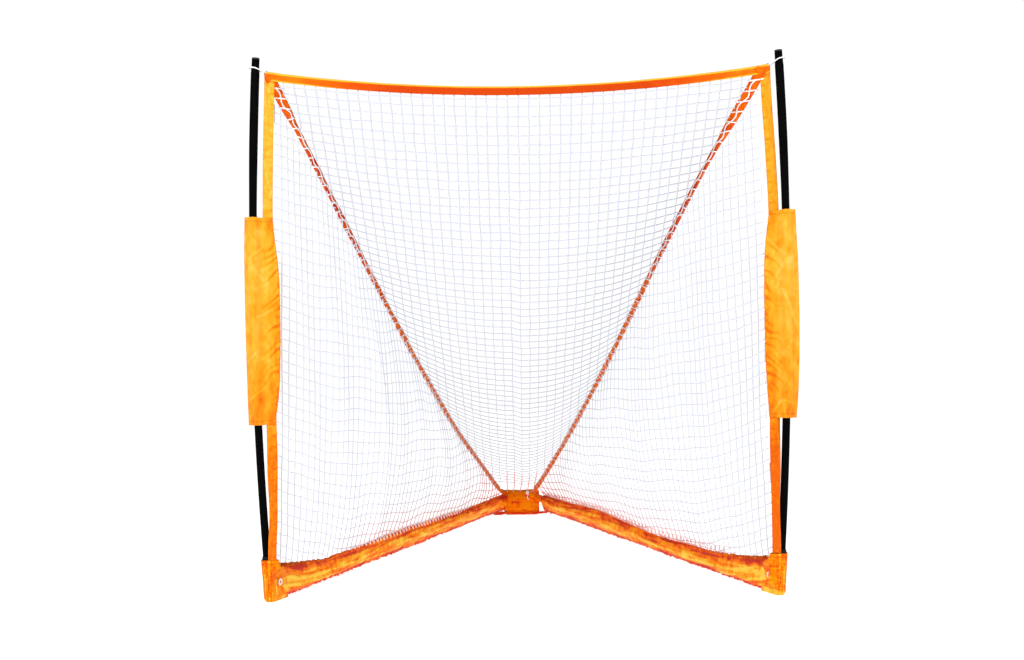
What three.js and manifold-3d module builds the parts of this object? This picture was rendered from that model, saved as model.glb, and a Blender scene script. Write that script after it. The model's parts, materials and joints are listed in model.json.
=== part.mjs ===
// Portable lacrosse goal. Millimetres, +X right across the mouth, +Y from the mouth to the apex, +Z up.
import * as THREE from 'three'
import { mergeVertices } from 'three/addons/utils/BufferGeometryUtils.js'
import Module from 'manifold-3d'

// Gap between pieces that touch, how far a cut runs past what it cuts, and what counts as one corner
const CLEARANCE = 0.3
const OVERRUN = 5
const MERGE_DISTANCE = 1e-4

// Poles, bowed outwards in the plane of the mouth
const POLE_RADIUS = 14.3
const POLE_WALL = 2.4
const POLE_FOOT_X = 937
const POLE_FOOT_Z = 14
const POLE_TIP_X = 976
const POLE_TIP_Z = 2012
const POLE_BOW = 31.4
const POLE_JOINT_Z = 1035
const FERRULE_REACH = 80
const FERRULE_WALL = 2
const POLE_CAP_HEIGHT = 6
const POLE_CAP_PLUG = 18

// Base arms, from the pivots at the apex down to the front corners
const PIVOT_X = 75
const PIVOT_Y = 2210
const ARM_REAR_Z = 98
const ARM_FRONT_Z = 26
const ARM_RADIUS = 16
const ARM_WALL = 2
const ARM_SPLIT = 1180
const SPIGOT_LENGTH = 100
const SPIGOT_WALL = 2
const TUBE_END_WALL = 3

// Pole sockets at the front corners
const SOCKET_WALL = 2.4
const SOCKET_FIT = 0.6
const SOCKET_FOOT_Z = 8
const SOCKET_TOP_Z = 166
const PLUG_FLANGE = 3.6

// Apex bracket, its pivots and its foot
const BRACKET_WIDTH = 190
const BRACKET_REACH = 30
const BRACKET_HEIGHT = 114
const BRACKET_PLATE = 5
const BRACKET_BEND = 9
const FOOT_HEIGHT = 16
const FOOT_MARGIN = 6
const FOOT_CORNER = 12
const BARREL_RADIUS = 15
const BUSH_RADIUS = 10
const BUSH_FLANGE_RADIUS = 14
const BUSH_FLANGE = 2
const BUSH_LENGTH = 18
const BOLT_RADIUS = 6
const BOLT_HEAD_RADIUS = 10.4
const BOLT_HEAD_HEIGHT = 7.5
const BOLT_THREAD_OUT = 12
const NUT_HEIGHT = 10
const NUT_CHAMFER = 1.4

// Snap buttons that lock the arm tubes
const BUTTON_RADIUS = 4
const BUTTON_SETBACK = 50
const BUTTON_OUT = 3
const BUTTON_BASE = 1.5
const BUTTON_BASE_RADIUS = 5.5
const BUTTON_TRAVEL_ROOM = 0.5
const SPRING_WIDTH = 8
const SPRING_THICK = 0.8
const SPRING_REACH = 30
const SPRING_PAD = 9

// Webbing: bands round the mouth, diagonal straps, tie at the apex
const BAND_WIDTH = 38
const BAND_THICK = 3
const BAND_Y = 17
const BAND_FOOT_X = 930
const BAND_TOP_X = 929
const BAND_BOW = 13
const CROSSBAR_WIDTH = 33
const CROSSBAR_HALF_LENGTH = 946
const CROSSBAR_CORNER_Z = 1955
const CROSSBAR_SAG = 70
const STRAP_WIDTH = 38
const STRAP_THICK = 2.5
const STRAP_TOP_Z = 1922
const STRAP_SAG = 75
const STRAP_STANDOFF = 4.4
const STRAP_END_RISE = 7
const STRAP_TOP_FACING_SHARES = [0.3, 0.68, 0.67]
const STRAP_LOW_FACING_SHARES = [0.87, 0.08, 0.49]
const STRAP_TURN_SHARE = 0.25
const TIE_WIDTH = 20
const TIE_THICK = 2.2
const TIE_HALF_LENGTH = 142
const TIE_TAIL = 26

// Fabric: sleeves, boots, pockets, wrap
const FABRIC = 1.6
const TUBE_ROOM = 1.2
const SLEEVE_REAR_DISTANCE = 105
const SLEEVE_REAR_FOOT_Z = 33
const SLEEVE_CORNER_HEIGHT = 139
const SLEEVE_RIDGE_SHARES = [[0, 1], [0.07, 0.81], [0.15, 0.67], [0.25, 0.63], [0.4, 0.6], [0.55, 0.71],
  [0.65, 0.8], [0.82, 0.79], [1, 0.87]]
const BOOT_REACH = 76
const BOOT_HEIGHT = 174
const BOOT_FLARE = 3
const POCKET_BOTTOM_Z = 649
const POCKET_TOP_Z = 1421
const POCKET_OUTER_REACH = 40
const POCKET_INNER_X = 893
const POCKET_BULGE = 19.5
const POCKET_WAIST = 22
const POCKET_HEM_SHARE = 0.9
const POCKET_HEM_WALL_SHARE = 0.6
const POCKET_SHOULDER_SHARE = 0.9
const POCKET_ROUND_SHARES = [[0.25, 1], [0.8, 0.8], [1.9, 0.4]]
const POCKET_ROW_SHARES = [0, 0.03, 0.12, 0.3, 0.5, 0.7, 0.88, 0.97, 1]
const WRAP_HALF_WIDTH = 99
const WRAP_HEIGHT = 147
const WRAP_ROOM = 12
const WRAP_SEAT = 0.8
const WRAP_FABRIC = 3
const WRAP_GATHER = 3

// Nets
const NET_FRONT_X = 918
const NET_FRONT_Y = 26
const NET_PITCH = 160
const NET_STRAND = 7
const NET_BORDER = 9
const NET_THICK = 3.6
const NET_BOW = 50
const NET_DIP_TOP = 72
const NET_DIP_MIDDLE = 175
const NET_STRAP_GAP = 5
const NET_LEAST_GAP_SHARE = 0.12
const STRAIGHT_SHARE = 1e-4

// Grommets and corner cords
const GROMMET_RADIUS = 12.5
const GROMMET_BORE = 6
const GROMMET_THICK = 3
const GROMMET_Z = 66
const EYELET_RADIUS = 7
const EYELET_BORE = 3.4
const EYELET_THICK = 2.4
const CORD_RADIUS = 2.7
const CORD_RISE = 11
const CORD_SLACK = 3.6

// Facets
const ROUND_SIDES = 16
const FINE_SIDES = 24
const POLE_STEPS = 7
const FERRULE_STEPS = 2
const SLEEVE_SIDES = 14
const HEX_SIDES = 6
const BEND_STEPS = 4
const BAND_STEPS = 8
const CROSSBAR_STEPS = 14
const NET_EDGE_STEPS = 12
const STRAP_STEPS = 14
const WRAP_STEPS = 6

const wasm = await Module()
wasm.setup()

const material = (color, roughness, metalness) =>
  new THREE.MeshStandardMaterial({ color, roughness, metalness, flatShading: true })
const BLACK_POLE = material(0x0c0c0d, 0.45, 0.1)
const BLACK_PLASTIC = material(0x141415, 0.6, 0)
const STEEL = material(0xb9bcc0, 0.35, 0.9)
const TUBE_STEEL = material(0x1a1a1c, 0.4, 0.6)
const ORANGE_FABRIC = material(0xed6124, 0.6, 0)
const YELLOW_FABRIC = material(0xff9c2c, 0.55, 0)
const ORANGE_WEBBING = material(0xdc4628, 0.65, 0)
const CROSSBAR_WEBBING = material(0xec5d1b, 0.6, 0)
const WHITE_CORD = material(0xf2f2f0, 0.8, 0)
const NYLON = material(0xe6e6e0, 0.5, 0)

const group = new THREE.Group()

// Geometry helpers

function cleaned(geometry) {
  const copy = geometry.clone()
  copy.deleteAttribute('normal')
  copy.deleteAttribute('uv')
  return mergeVertices(copy, MERGE_DISTANCE)
}

function volumeOf(geometry) {
  const position = geometry.attributes.position
  const index = geometry.index
  const corner = [0, 1, 2].map(() => new THREE.Vector3())
  let volume = 0
  for (let i = 0; i < index.count; i += 3) {
    corner.forEach((point, k) => point.fromBufferAttribute(position, index.getX(i + k)))
    volume += corner[0].dot(corner[1].clone().cross(corner[2])) / 6
  }
  return volume
}

function flipped(geometry) {
  const index = geometry.index
  for (let i = 0; i < index.count; i += 3) {
    const first = index.getX(i)
    index.setX(i, index.getX(i + 1))
    index.setX(i + 1, first)
  }
  return geometry
}

function facingOut(geometry) {
  return volumeOf(geometry) < 0 ? flipped(geometry) : geometry
}

function solid(geometry) {
  const closed = facingOut(cleaned(geometry))
  const vertProperties = new Float32Array(closed.attributes.position.array)
  const triVerts = new Uint32Array(closed.index.array)
  return new wasm.Manifold(new wasm.Mesh({ numProp: 3, vertProperties, triVerts }))
}

function geometryOf(body) {
  const mesh = body.getMesh()
  const geometry = new THREE.BufferGeometry()
  geometry.setAttribute('position', new THREE.BufferAttribute(new Float32Array(mesh.vertProperties), 3))
  geometry.setIndex(new THREE.BufferAttribute(new Uint32Array(mesh.triVerts), 1))
  return geometry
}

function mirrored(geometry) {
  const copy = cleaned(geometry)
  copy.scale(-1, 1, 1)
  return flipped(copy)
}

function add(name, geometry, finish) {
  const mesh = new THREE.Mesh(facingOut(cleaned(geometry)), finish)
  mesh.name = name
  group.add(mesh)
}

function addPair(name, geometry, finish) {
  add('right_' + name, geometry, finish)
  add('left_' + name, mirrored(geometry), finish)
}

// A turned piece: profile points are [radius, distance along the axis]
function turned(profile, from, direction, sides = ROUND_SIDES) {
  const points = profile.map(([radius, along]) => new THREE.Vector2(radius, along))
  const geometry = new THREE.LatheGeometry(points, sides)
  const turn = new THREE.Quaternion().setFromUnitVectors(new THREE.Vector3(0, 1, 0), direction)
  geometry.applyQuaternion(turn)
  geometry.translate(from.x, from.y, from.z)
  return geometry
}

function rod(radius, start, end, from, direction, sides = ROUND_SIDES) {
  return turned([[0, start], [radius, start], [radius, end], [0, end]], from, direction, sides)
}

function ring(outer, inner, start, end, from, direction, sides = ROUND_SIDES) {
  const profile = [[inner, start], [outer, start], [outer, end], [inner, end], [inner, start]]
  return turned(profile, from, direction, sides)
}

// Joins loops of equally many points into one closed skin, with flat fans at the two ends
function loft(loops) {
  const count = loops[0].length
  const positions = loops.flat().flatMap((point) => [point.x, point.y, point.z])
  const index = []
  for (let row = 0; row + 1 < loops.length; row++) {
    for (let k = 0; k < count; k++) {
      const a = row * count + k
      const b = row * count + (k + 1) % count
      index.push(a, b, b + count, a, b + count, a + count)
    }
  }
  const last = (loops.length - 1) * count
  for (let k = 1; k + 1 < count; k++) {
    index.push(0, k + 1, k)
    index.push(last, last + k, last + k + 1)
  }
  return indexed(positions, index)
}

// Joins outer and inner loops into a tube of fabric that is open at both ends
function sleeve(outer, inner) {
  const count = outer[0].length
  const rows = outer.length
  const positions = [...outer, ...inner].flat().flatMap((point) => [point.x, point.y, point.z])
  const index = []
  const skin = rows * count
  for (let row = 0; row + 1 < rows; row++) {
    for (let k = 0; k < count; k++) {
      const a = row * count + k
      const b = row * count + (k + 1) % count
      index.push(a, b, b + count, a, b + count, a + count)
      index.push(a + skin, b + skin + count, b + skin, a + skin, a + skin + count, b + skin + count)
    }
  }
  for (let k = 0; k < count; k++) {
    const next = (k + 1) % count
    const last = (rows - 1) * count
    index.push(k, k + skin, next + skin, k, next + skin, next)
    index.push(last + k, last + next + skin, last + k + skin, last + k, last + next, last + next + skin)
  }
  return indexed(positions, index)
}

function indexed(positions, index) {
  const geometry = new THREE.BufferGeometry()
  geometry.setAttribute('position', new THREE.Float32BufferAttribute(positions, 3))
  geometry.setIndex(index)
  return facingOut(geometry)
}

// A flat strip of webbing along points, with its face turned to each point's normal
function ribbon(points, normals, width, thick) {
  const loops = points.map((point, i) => {
    const before = points[Math.max(i - 1, 0)]
    const after = points[Math.min(i + 1, points.length - 1)]
    const along = after.clone().sub(before).normalize()
    const face = normals[i].clone().addScaledVector(along, -normals[i].dot(along)).normalize()
    const side = along.clone().cross(face).normalize()
    return [[-1, -1], [1, -1], [1, 1], [-1, 1]].map(([across, up]) =>
      point.clone().addScaledVector(side, across * width / 2).addScaledVector(face, up * thick / 2))
  })
  return loft(loops)
}

function interpolated(table, at) {
  const next = Math.max(1, table.findIndex(([place]) => place >= at))
  const [place0, value0] = table[next - 1]
  const [place1, value1] = table[next]
  return value0 + (value1 - value0) * (at - place0) / (place1 - place0)
}

const evenly = (count) => Array.from({ length: count + 1 }, (_, i) => i / count)
const UP = new THREE.Vector3(0, 0, 1)

// Poles

function poleShare(z) {
  return (z - POLE_FOOT_Z) / (POLE_TIP_Z - POLE_FOOT_Z)
}

function polePoint(z) {
  const share = poleShare(z)
  const bow = 4 * POLE_BOW * share * (1 - share)
  return new THREE.Vector3(POLE_FOOT_X + (POLE_TIP_X - POLE_FOOT_X) * share + bow, 0, z)
}

function poleDirection(z) {
  const rise = POLE_TIP_Z - POLE_FOOT_Z
  const lean = POLE_TIP_X - POLE_FOOT_X + 4 * POLE_BOW * (1 - 2 * poleShare(z))
  return new THREE.Vector3(lean, 0, rise).normalize()
}

class PolePath extends THREE.Curve {
  constructor(from, to) {
    super()
    this.from = from
    this.to = to
  }

  getPoint(share, target = new THREE.Vector3()) {
    return target.copy(polePoint(this.from + (this.to - this.from) * share))
  }
}

function poleTube(outer, inner, from, to, steps = POLE_STEPS) {
  const section = new THREE.Shape().absarc(0, 0, outer, 0, 2 * Math.PI)
  section.holes.push(new THREE.Path().absarc(0, 0, inner, 0, 2 * Math.PI))
  const path = new PolePath(from, to)
  return new THREE.ExtrudeGeometry(section, { steps, extrudePath: path, curveSegments: ROUND_SIDES / 2 })
}

const POLE_BORE = POLE_RADIUS - POLE_WALL
addPair('pole_lower', poleTube(POLE_RADIUS, POLE_BORE, POLE_FOOT_Z, POLE_JOINT_Z), BLACK_POLE)
addPair('pole_upper', poleTube(POLE_RADIUS, POLE_BORE, POLE_JOINT_Z + CLEARANCE, POLE_TIP_Z), BLACK_POLE)
const FERRULE_RADIUS = POLE_BORE - CLEARANCE
const ferrule = poleTube(FERRULE_RADIUS, FERRULE_RADIUS - FERRULE_WALL, POLE_JOINT_Z - FERRULE_REACH,
  POLE_JOINT_Z + FERRULE_REACH, FERRULE_STEPS)
addPair('pole_ferrule', ferrule, STEEL)
const plugRadius = POLE_BORE - CLEARANCE
const capProfile = [[0, -POLE_CAP_PLUG], [plugRadius, -POLE_CAP_PLUG], [plugRadius, CLEARANCE],
  [POLE_RADIUS, CLEARANCE], [POLE_RADIUS, POLE_CAP_HEIGHT], [0, POLE_CAP_HEIGHT]]
addPair('pole_cap', turned(capProfile, polePoint(POLE_TIP_Z), poleDirection(POLE_TIP_Z)), BLACK_PLASTIC)

// Base arm line, from the pivot to the pole's foot

const PIVOT = new THREE.Vector3(PIVOT_X, PIVOT_Y, ARM_REAR_Z)
const CORNER = polePoint(ARM_FRONT_Z)
const ARM_AXIS = CORNER.clone().sub(PIVOT).normalize()
const ARM_LENGTH = CORNER.distanceTo(PIVOT)
const ARM_HEADING = new THREE.Vector3(ARM_AXIS.x, ARM_AXIS.y, 0).normalize()
const INWARD = UP.clone().cross(ARM_HEADING).negate()
const ARM_BORE = ARM_RADIUS - ARM_WALL
const SPIGOT_RADIUS = ARM_BORE - CLEARANCE
const SPIGOT_BORE = SPIGOT_RADIUS - SPIGOT_WALL
const armPoint = (distance) => PIVOT.clone().addScaledVector(ARM_AXIS, distance)
const buttonPlace = armPoint(ARM_SPLIT - BUTTON_SETBACK)
const buttonHole = () => solid(rod(BUTTON_RADIUS + CLEARANCE, 0, ARM_RADIUS + OVERRUN, buttonPlace, UP))

// Apex bracket: a bent channel that opens towards the mouth, on a plastic foot

const bracketTop = FOOT_HEIGHT + BRACKET_HEIGHT
const pivotOnGround = new THREE.Vector3(PIVOT_X, PIVOT_Y, 0)
const pivotPair = [PIVOT_X, -PIVOT_X].map((x) => new THREE.Vector3(x, PIVOT_Y, 0))
const webInside = BARREL_RADIUS + BRACKET_BEND
const bracketDepth = BRACKET_REACH + webInside + BRACKET_PLATE
const footWidth = BRACKET_WIDTH - 2 * FOOT_MARGIN
const bracketMiddle = PIVOT_Y + bracketDepth / 2 - BRACKET_REACH

function bracketProfile() {
  const bottom = FOOT_HEIGHT
  const inside = webInside
  const outside = inside + BRACKET_PLATE
  const bend = BRACKET_BEND
  const outer = bend + BRACKET_PLATE
  const shape = new THREE.Shape()
  shape.moveTo(-BRACKET_REACH, bottom)
  shape.lineTo(outside - outer, bottom)
  shape.absarc(outside - outer, bottom + outer, outer, -Math.PI / 2, 0)
  shape.lineTo(outside, bracketTop - outer)
  shape.absarc(outside - outer, bracketTop - outer, outer, 0, Math.PI / 2)
  shape.lineTo(-BRACKET_REACH, bracketTop)
  shape.lineTo(-BRACKET_REACH, bracketTop - BRACKET_PLATE)
  shape.lineTo(inside - bend, bracketTop - BRACKET_PLATE)
  shape.absarc(inside - bend, bracketTop - outer, bend, Math.PI / 2, 0, true)
  shape.lineTo(inside, bottom + outer)
  shape.absarc(inside - bend, bottom + outer, bend, 0, -Math.PI / 2, true)
  shape.lineTo(-BRACKET_REACH, bottom + BRACKET_PLATE)
  return shape
}

function alongX(shape, width, curveSegments) {
  const geometry = new THREE.ExtrudeGeometry(shape, { depth: width, bevelEnabled: false, curveSegments })
  const frame = new THREE.Matrix4().makeBasis(new THREE.Vector3(0, 1, 0), UP, new THREE.Vector3(1, 0, 0))
  geometry.applyMatrix4(frame)
  geometry.translate(-width / 2, PIVOT_Y, 0)
  return geometry
}

function apexBracket() {
  const channel = solid(alongX(bracketProfile(), BRACKET_WIDTH, BEND_STEPS))
  const drill = (foot) => solid(rod(BOLT_RADIUS + CLEARANCE, 0, bracketTop + OVERRUN, foot, UP))
  return pivotPair.reduce((body, foot) => body.subtract(drill(foot)), channel)
}
add('apex_bracket', geometryOf(apexBracket()), STEEL)

function roundedRectangle(width, depth, corner) {
  const x = width / 2 - corner
  const y = depth / 2 - corner
  const shape = new THREE.Shape()
  shape.absarc(x, y, corner, 0, Math.PI / 2)
  shape.absarc(-x, y, corner, Math.PI / 2, Math.PI)
  shape.absarc(-x, -y, corner, Math.PI, 3 * Math.PI / 2)
  shape.absarc(x, -y, corner, 3 * Math.PI / 2, 2 * Math.PI)
  return shape
}

function apexFoot() {
  const outline = roundedRectangle(footWidth, bracketDepth, FOOT_CORNER)
  const block = new THREE.ExtrudeGeometry(outline,
    { depth: FOOT_HEIGHT - CLEARANCE, bevelEnabled: false, curveSegments: 4 })
  block.translate(0, bracketMiddle, 0)
  const room = BOLT_HEAD_RADIUS + 3 * CLEARANCE
  const pockets = pivotPair.map((foot) => solid(rod(room, -OVERRUN, FOOT_HEIGHT + OVERRUN, foot, UP)))
  return pockets.reduce((body, pocket) => body.subtract(pocket), solid(block))
}
add('apex_foot', geometryOf(apexFoot()), BLACK_PLASTIC)

// Pivot bolts, lock nuts and bushes

function pivotBolt() {
  const end = FOOT_HEIGHT - BOLT_THREAD_OUT
  const seat = bracketTop + CLEARANCE
  const top = bracketTop + BOLT_HEAD_HEIGHT
  const shank = solid(rod(BOLT_RADIUS, end, seat, pivotOnGround, UP))
  const head = solid(rod(BOLT_HEAD_RADIUS, seat, top, pivotOnGround, UP, HEX_SIDES))
  return geometryOf(shank.add(head))
}
addPair('pivot_bolt', pivotBolt(), STEEL)

function pivotNut() {
  const top = FOOT_HEIGHT - CLEARANCE
  const bottom = top - NUT_HEIGHT
  const profile = [[0, bottom], [BOLT_HEAD_RADIUS - NUT_CHAMFER, bottom],
    [BOLT_HEAD_RADIUS, bottom + NUT_CHAMFER], [BOLT_HEAD_RADIUS, top], [0, top]]
  const thread = solid(rod(BOLT_RADIUS + CLEARANCE, 0, bracketTop, pivotOnGround, UP))
  return geometryOf(solid(turned(profile, pivotOnGround, UP, HEX_SIDES)).subtract(thread))
}
addPair('pivot_nut', pivotNut(), STEEL)

const barrelBottom = FOOT_HEIGHT + BRACKET_PLATE + BUSH_FLANGE + 2 * CLEARANCE
const barrelTop = bracketTop - BRACKET_PLATE - BUSH_FLANGE - 2 * CLEARANCE

function bush(seat, inwards) {
  const bore = BOLT_RADIUS + CLEARANCE
  const flange = seat - inwards * CLEARANCE
  const face = flange - inwards * BUSH_FLANGE
  const end = seat + inwards * BUSH_LENGTH
  const profile = [[bore, face], [BUSH_FLANGE_RADIUS, face], [BUSH_FLANGE_RADIUS, flange],
    [BUSH_RADIUS, flange], [BUSH_RADIUS, end], [bore, end], [bore, face]]
  return turned(profile, pivotOnGround, UP)
}
addPair('upper_bush', bush(barrelTop, -1), NYLON)
addPair('lower_bush', bush(barrelBottom, 1), NYLON)

// Arm tubes

function rearTube() {
  const barrel = solid(rod(BARREL_RADIUS, barrelBottom, barrelTop, pivotOnGround, UP))
  const tube = solid(rod(ARM_RADIUS, 0, ARM_SPLIT, PIVOT, ARM_AXIS))
  const bore = solid(rod(ARM_BORE, BARREL_RADIUS + TUBE_END_WALL, ARM_SPLIT + OVERRUN, PIVOT, ARM_AXIS))
  const drill = solid(rod(BUSH_RADIUS + CLEARANCE, 0, bracketTop, pivotOnGround, UP))
  const reach = ARM_RADIUS + BARREL_RADIUS
  const room = solid(ring(reach, BARREL_RADIUS, barrelTop, bracketTop, pivotOnGround, UP))
  const body = tube.add(barrel).subtract(bore).subtract(drill).subtract(room)
  return geometryOf(body.subtract(buttonHole()))
}
addPair('rear_tube', rearTube(), TUBE_STEEL)

const SOCKET_BORE = POLE_RADIUS + SOCKET_FIT
const SOCKET_RADIUS = SOCKET_BORE + SOCKET_WALL
const socketMiddle = (SOCKET_FOOT_Z + SOCKET_TOP_Z) / 2
const SOCKET_AXIS = poleDirection(socketMiddle)
const alongSocket = (z) => (z - SOCKET_FOOT_Z) / SOCKET_AXIS.z
const socketFoot = polePoint(socketMiddle).addScaledVector(SOCKET_AXIS, -alongSocket(socketMiddle))
const SOCKET_LENGTH = alongSocket(SOCKET_TOP_Z)

function frontTube() {
  const shoulder = ARM_SPLIT + CLEARANCE
  const boreEnd = ARM_LENGTH - SOCKET_RADIUS - TUBE_END_WALL
  const tube = solid(rod(ARM_RADIUS, shoulder, ARM_LENGTH, PIVOT, ARM_AXIS))
  const spigot = solid(rod(SPIGOT_RADIUS, ARM_SPLIT - SPIGOT_LENGTH, shoulder + ARM_WALL, PIVOT, ARM_AXIS))
  const socket = solid(rod(SOCKET_RADIUS, 0, SOCKET_LENGTH, socketFoot, SOCKET_AXIS))
  const tubeBore = solid(rod(SPIGOT_BORE, ARM_SPLIT - SPIGOT_LENGTH - OVERRUN, boreEnd, PIVOT, ARM_AXIS))
  const socketBore = solid(rod(SOCKET_BORE, -OVERRUN, SOCKET_LENGTH + OVERRUN, socketFoot, SOCKET_AXIS))
  const body = tube.add(spigot).add(socket).subtract(tubeBore).subtract(socketBore)
  return geometryOf(body.subtract(buttonHole()))
}
addPair('front_tube', frontTube(), TUBE_STEEL)

const plugTop = alongSocket(POLE_FOOT_Z) - CLEARANCE
const plugBody = SOCKET_BORE - CLEARANCE
const plugProfile = [[0, -PLUG_FLANGE], [SOCKET_RADIUS, -PLUG_FLANGE], [SOCKET_RADIUS, -CLEARANCE],
  [plugBody, -CLEARANCE], [plugBody, plugTop], [0, plugTop]]
addPair('foot_plug', turned(plugProfile, socketFoot, SOCKET_AXIS), BLACK_PLASTIC)

// Snap button and its leaf spring, inside the spigot

const boreFlat = SPIGOT_BORE * Math.cos(Math.PI / ROUND_SIDES)
const baseTop = Math.sqrt(boreFlat ** 2 - BUTTON_BASE_RADIUS ** 2) - BUTTON_TRAVEL_ROOM
const baseBottom = baseTop - BUTTON_BASE
const leafTop = baseBottom - CLEARANCE
const buttonTop = ARM_RADIUS + BUTTON_OUT
const domeFoot = buttonTop - BUTTON_RADIUS / 3
const buttonProfile = [[0, baseBottom], [BUTTON_BASE_RADIUS, baseBottom], [BUTTON_BASE_RADIUS, baseTop],
  [BUTTON_RADIUS, baseTop], [BUTTON_RADIUS, domeFoot], [BUTTON_RADIUS / 2, buttonTop], [0, buttonTop]]
addPair('snap_button', turned(buttonProfile, buttonPlace, UP), STEEL)

function leafSpring() {
  const floor = -Math.sqrt(SPIGOT_BORE ** 2 - (SPRING_WIDTH / 2) ** 2) + CLEARANCE
  const under = leafTop - SPRING_THICK
  const shape = new THREE.Shape()
  shape.moveTo(-SPRING_REACH, floor)
  shape.lineTo(SPRING_REACH, floor)
  shape.lineTo(SPRING_REACH, floor + 2 * SPRING_THICK)
  shape.lineTo(SPRING_PAD, leafTop)
  shape.lineTo(-SPRING_PAD, leafTop)
  shape.lineTo(-SPRING_PAD, under)
  shape.lineTo(SPRING_PAD - SPRING_THICK, under)
  shape.lineTo(SPRING_REACH - 2 * SPRING_THICK, floor + SPRING_THICK)
  shape.lineTo(-SPRING_REACH, floor + SPRING_THICK)
  const geometry = new THREE.ExtrudeGeometry(shape, { depth: SPRING_WIDTH, bevelEnabled: false })
  geometry.translate(0, 0, -SPRING_WIDTH / 2)
  const across = ARM_AXIS.clone().cross(UP).normalize()
  const frame = new THREE.Matrix4().makeBasis(ARM_AXIS, across.clone().cross(ARM_AXIS), across)
  geometry.applyMatrix4(frame)
  geometry.translate(buttonPlace.x, buttonPlace.y, buttonPlace.z)
  return geometry
}
addPair('button_spring', leafSpring(), STEEL)

// Side panel line on the ground, and the heights along it: share 0 at the mouth, 1 at the apex

const NET_FRONT = new THREE.Vector3(NET_FRONT_X, NET_FRONT_Y, 0)
const sleeveRear = armPoint(SLEEVE_REAR_DISTANCE)
const NET_REAR = new THREE.Vector3(sleeveRear.x, sleeveRear.y, 0)
const PANEL_LENGTH = NET_FRONT.distanceTo(NET_REAR)
const panelPoint = (share) => NET_FRONT.clone().lerp(NET_REAR, share)
const ridgeHeight = (share) => SLEEVE_CORNER_HEIGHT * interpolated(SLEEVE_RIDGE_SHARES, share)
const STRAP_END_Z = ridgeHeight(1) + STRAP_END_RISE
const strapSag = (share) => 4 * STRAP_SAG * share * (1 - share)
const strapHeight = (share) => STRAP_TOP_Z + (STRAP_END_Z - STRAP_TOP_Z) * share - strapSag(share)
const depthShare = (y) => (y - NET_FRONT_Y) / (NET_REAR.y - NET_FRONT_Y)
const panelShare = (distance) => Math.max(depthShare(armPoint(distance).y), 0)

// Base sleeves: a tunnel round the arm tube, drawn up to a ridge by the net

function hullReach(angle, radius, [distance, direction]) {
  const off = Math.abs(Math.atan2(Math.sin(angle - direction), Math.cos(angle - direction)))
  const spread = distance > radius ? Math.acos(radius / distance) : 0
  return off < spread ? radius / Math.cos(spread - off) : radius
}

function tunnelLoop(distance, inset, ridgeShare = panelShare(distance)) {
  const centre = armPoint(distance)
  const ridge = panelPoint(ridgeShare)
  const lean = ridge.sub(centre).dot(INWARD)
  const rise = ridgeHeight(ridgeShare) - centre.z
  const footZ = SLEEVE_REAR_FOOT_Z * (1 - distance / ARM_LENGTH)
  const radius = ARM_RADIUS + TUBE_ROOM + FABRIC - inset
  const up = [Math.hypot(lean, rise) - 3 * inset, Math.atan2(rise, lean)]
  const down = [centre.z - footZ - 1.5 * inset, -Math.PI / 2]
  const half = SLEEVE_SIDES / 2
  const turn = up[1] - down[1]
  return Array.from({ length: SLEEVE_SIDES }, (_, k) => {
    const angle = k < half ? up[1] - turn * k / half : down[1] - (2 * Math.PI - turn) * (k - half) / half
    const reach = Math.max(hullReach(angle, radius, up), hullReach(angle, radius, down))
    const point = centre.clone().addScaledVector(INWARD, reach * Math.cos(angle))
    point.addScaledVector(UP, reach * Math.sin(angle))
    point.z = Math.max(point.z, 0)
    return point
  })
}

const sleeveFront = ARM_LENGTH - BOOT_REACH - CLEARANCE
const distanceAt = (share) => (panelPoint(share).y - PIVOT_Y) / ARM_AXIS.y
const ridgeStops = SLEEVE_RIDGE_SHARES.map(([share]) => distanceAt(share))
const sleeveStops = [sleeveFront, ...ridgeStops.filter((distance) => distance < sleeveFront)]

function baseSleeve() {
  const outer = sleeveStops.map((distance) => tunnelLoop(distance, 0))
  const inner = sleeveStops.map((distance) => tunnelLoop(distance, FABRIC))
  return sleeve(outer, inner)
}
addPair('base_sleeve', baseSleeve(), ORANGE_FABRIC)

// Corner boots: round the socket, and round the arm as far as the sleeve

function cornerBoot() {
  const bootRadius = SOCKET_RADIUS + TUBE_ROOM + FABRIC
  const start = socketFoot.clone().addScaledVector(SOCKET_AXIS, -alongSocket(SOCKET_FOOT_Z + SOCKET_FOOT_Z))
  const length = BOOT_HEIGHT / SOCKET_AXIS.z
  const legProfile = [[0, -OVERRUN], [bootRadius + BOOT_FLARE, -OVERRUN], [bootRadius, length], [0, length]]
  const leg = solid(turned(legProfile, start, SOCKET_AXIS))
  const legRoom = solid(rod(bootRadius - FABRIC, FABRIC + TUBE_ROOM, length + OVERRUN, start, SOCKET_AXIS))
  const end = ARM_LENGTH - BOOT_REACH
  const reach = solid(loft([tunnelLoop(ARM_LENGTH, 0, 0), tunnelLoop(end, 0)]))
  const reachRoom = solid(loft([tunnelLoop(ARM_LENGTH, FABRIC, 0), tunnelLoop(end - OVERRUN, FABRIC)]))
  const ground = new THREE.BoxGeometry(SLEEVE_CORNER_HEIGHT * 2, SLEEVE_CORNER_HEIGHT * 2, BOOT_HEIGHT)
  ground.translate(CORNER.x, CORNER.y, BOOT_HEIGHT / 2)
  return geometryOf(leg.add(reach).intersect(solid(ground)).subtract(legRoom).subtract(reachRoom))
}
addPair('corner_boot', cornerBoot(), ORANGE_FABRIC)

// Bands round the mouth

const crossbarHeight = (x) => CROSSBAR_CORNER_Z - CROSSBAR_SAG * (1 - (x / CROSSBAR_HALF_LENGTH) ** 2)
const BAND_LOW_Z = BOOT_HEIGHT + CLEARANCE
const bandInnerTop = BAND_TOP_X - BAND_WIDTH / 2
const BAND_HIGH_Z = crossbarHeight(bandInnerTop) - CROSSBAR_WIDTH / 2 - CLEARANCE

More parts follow.
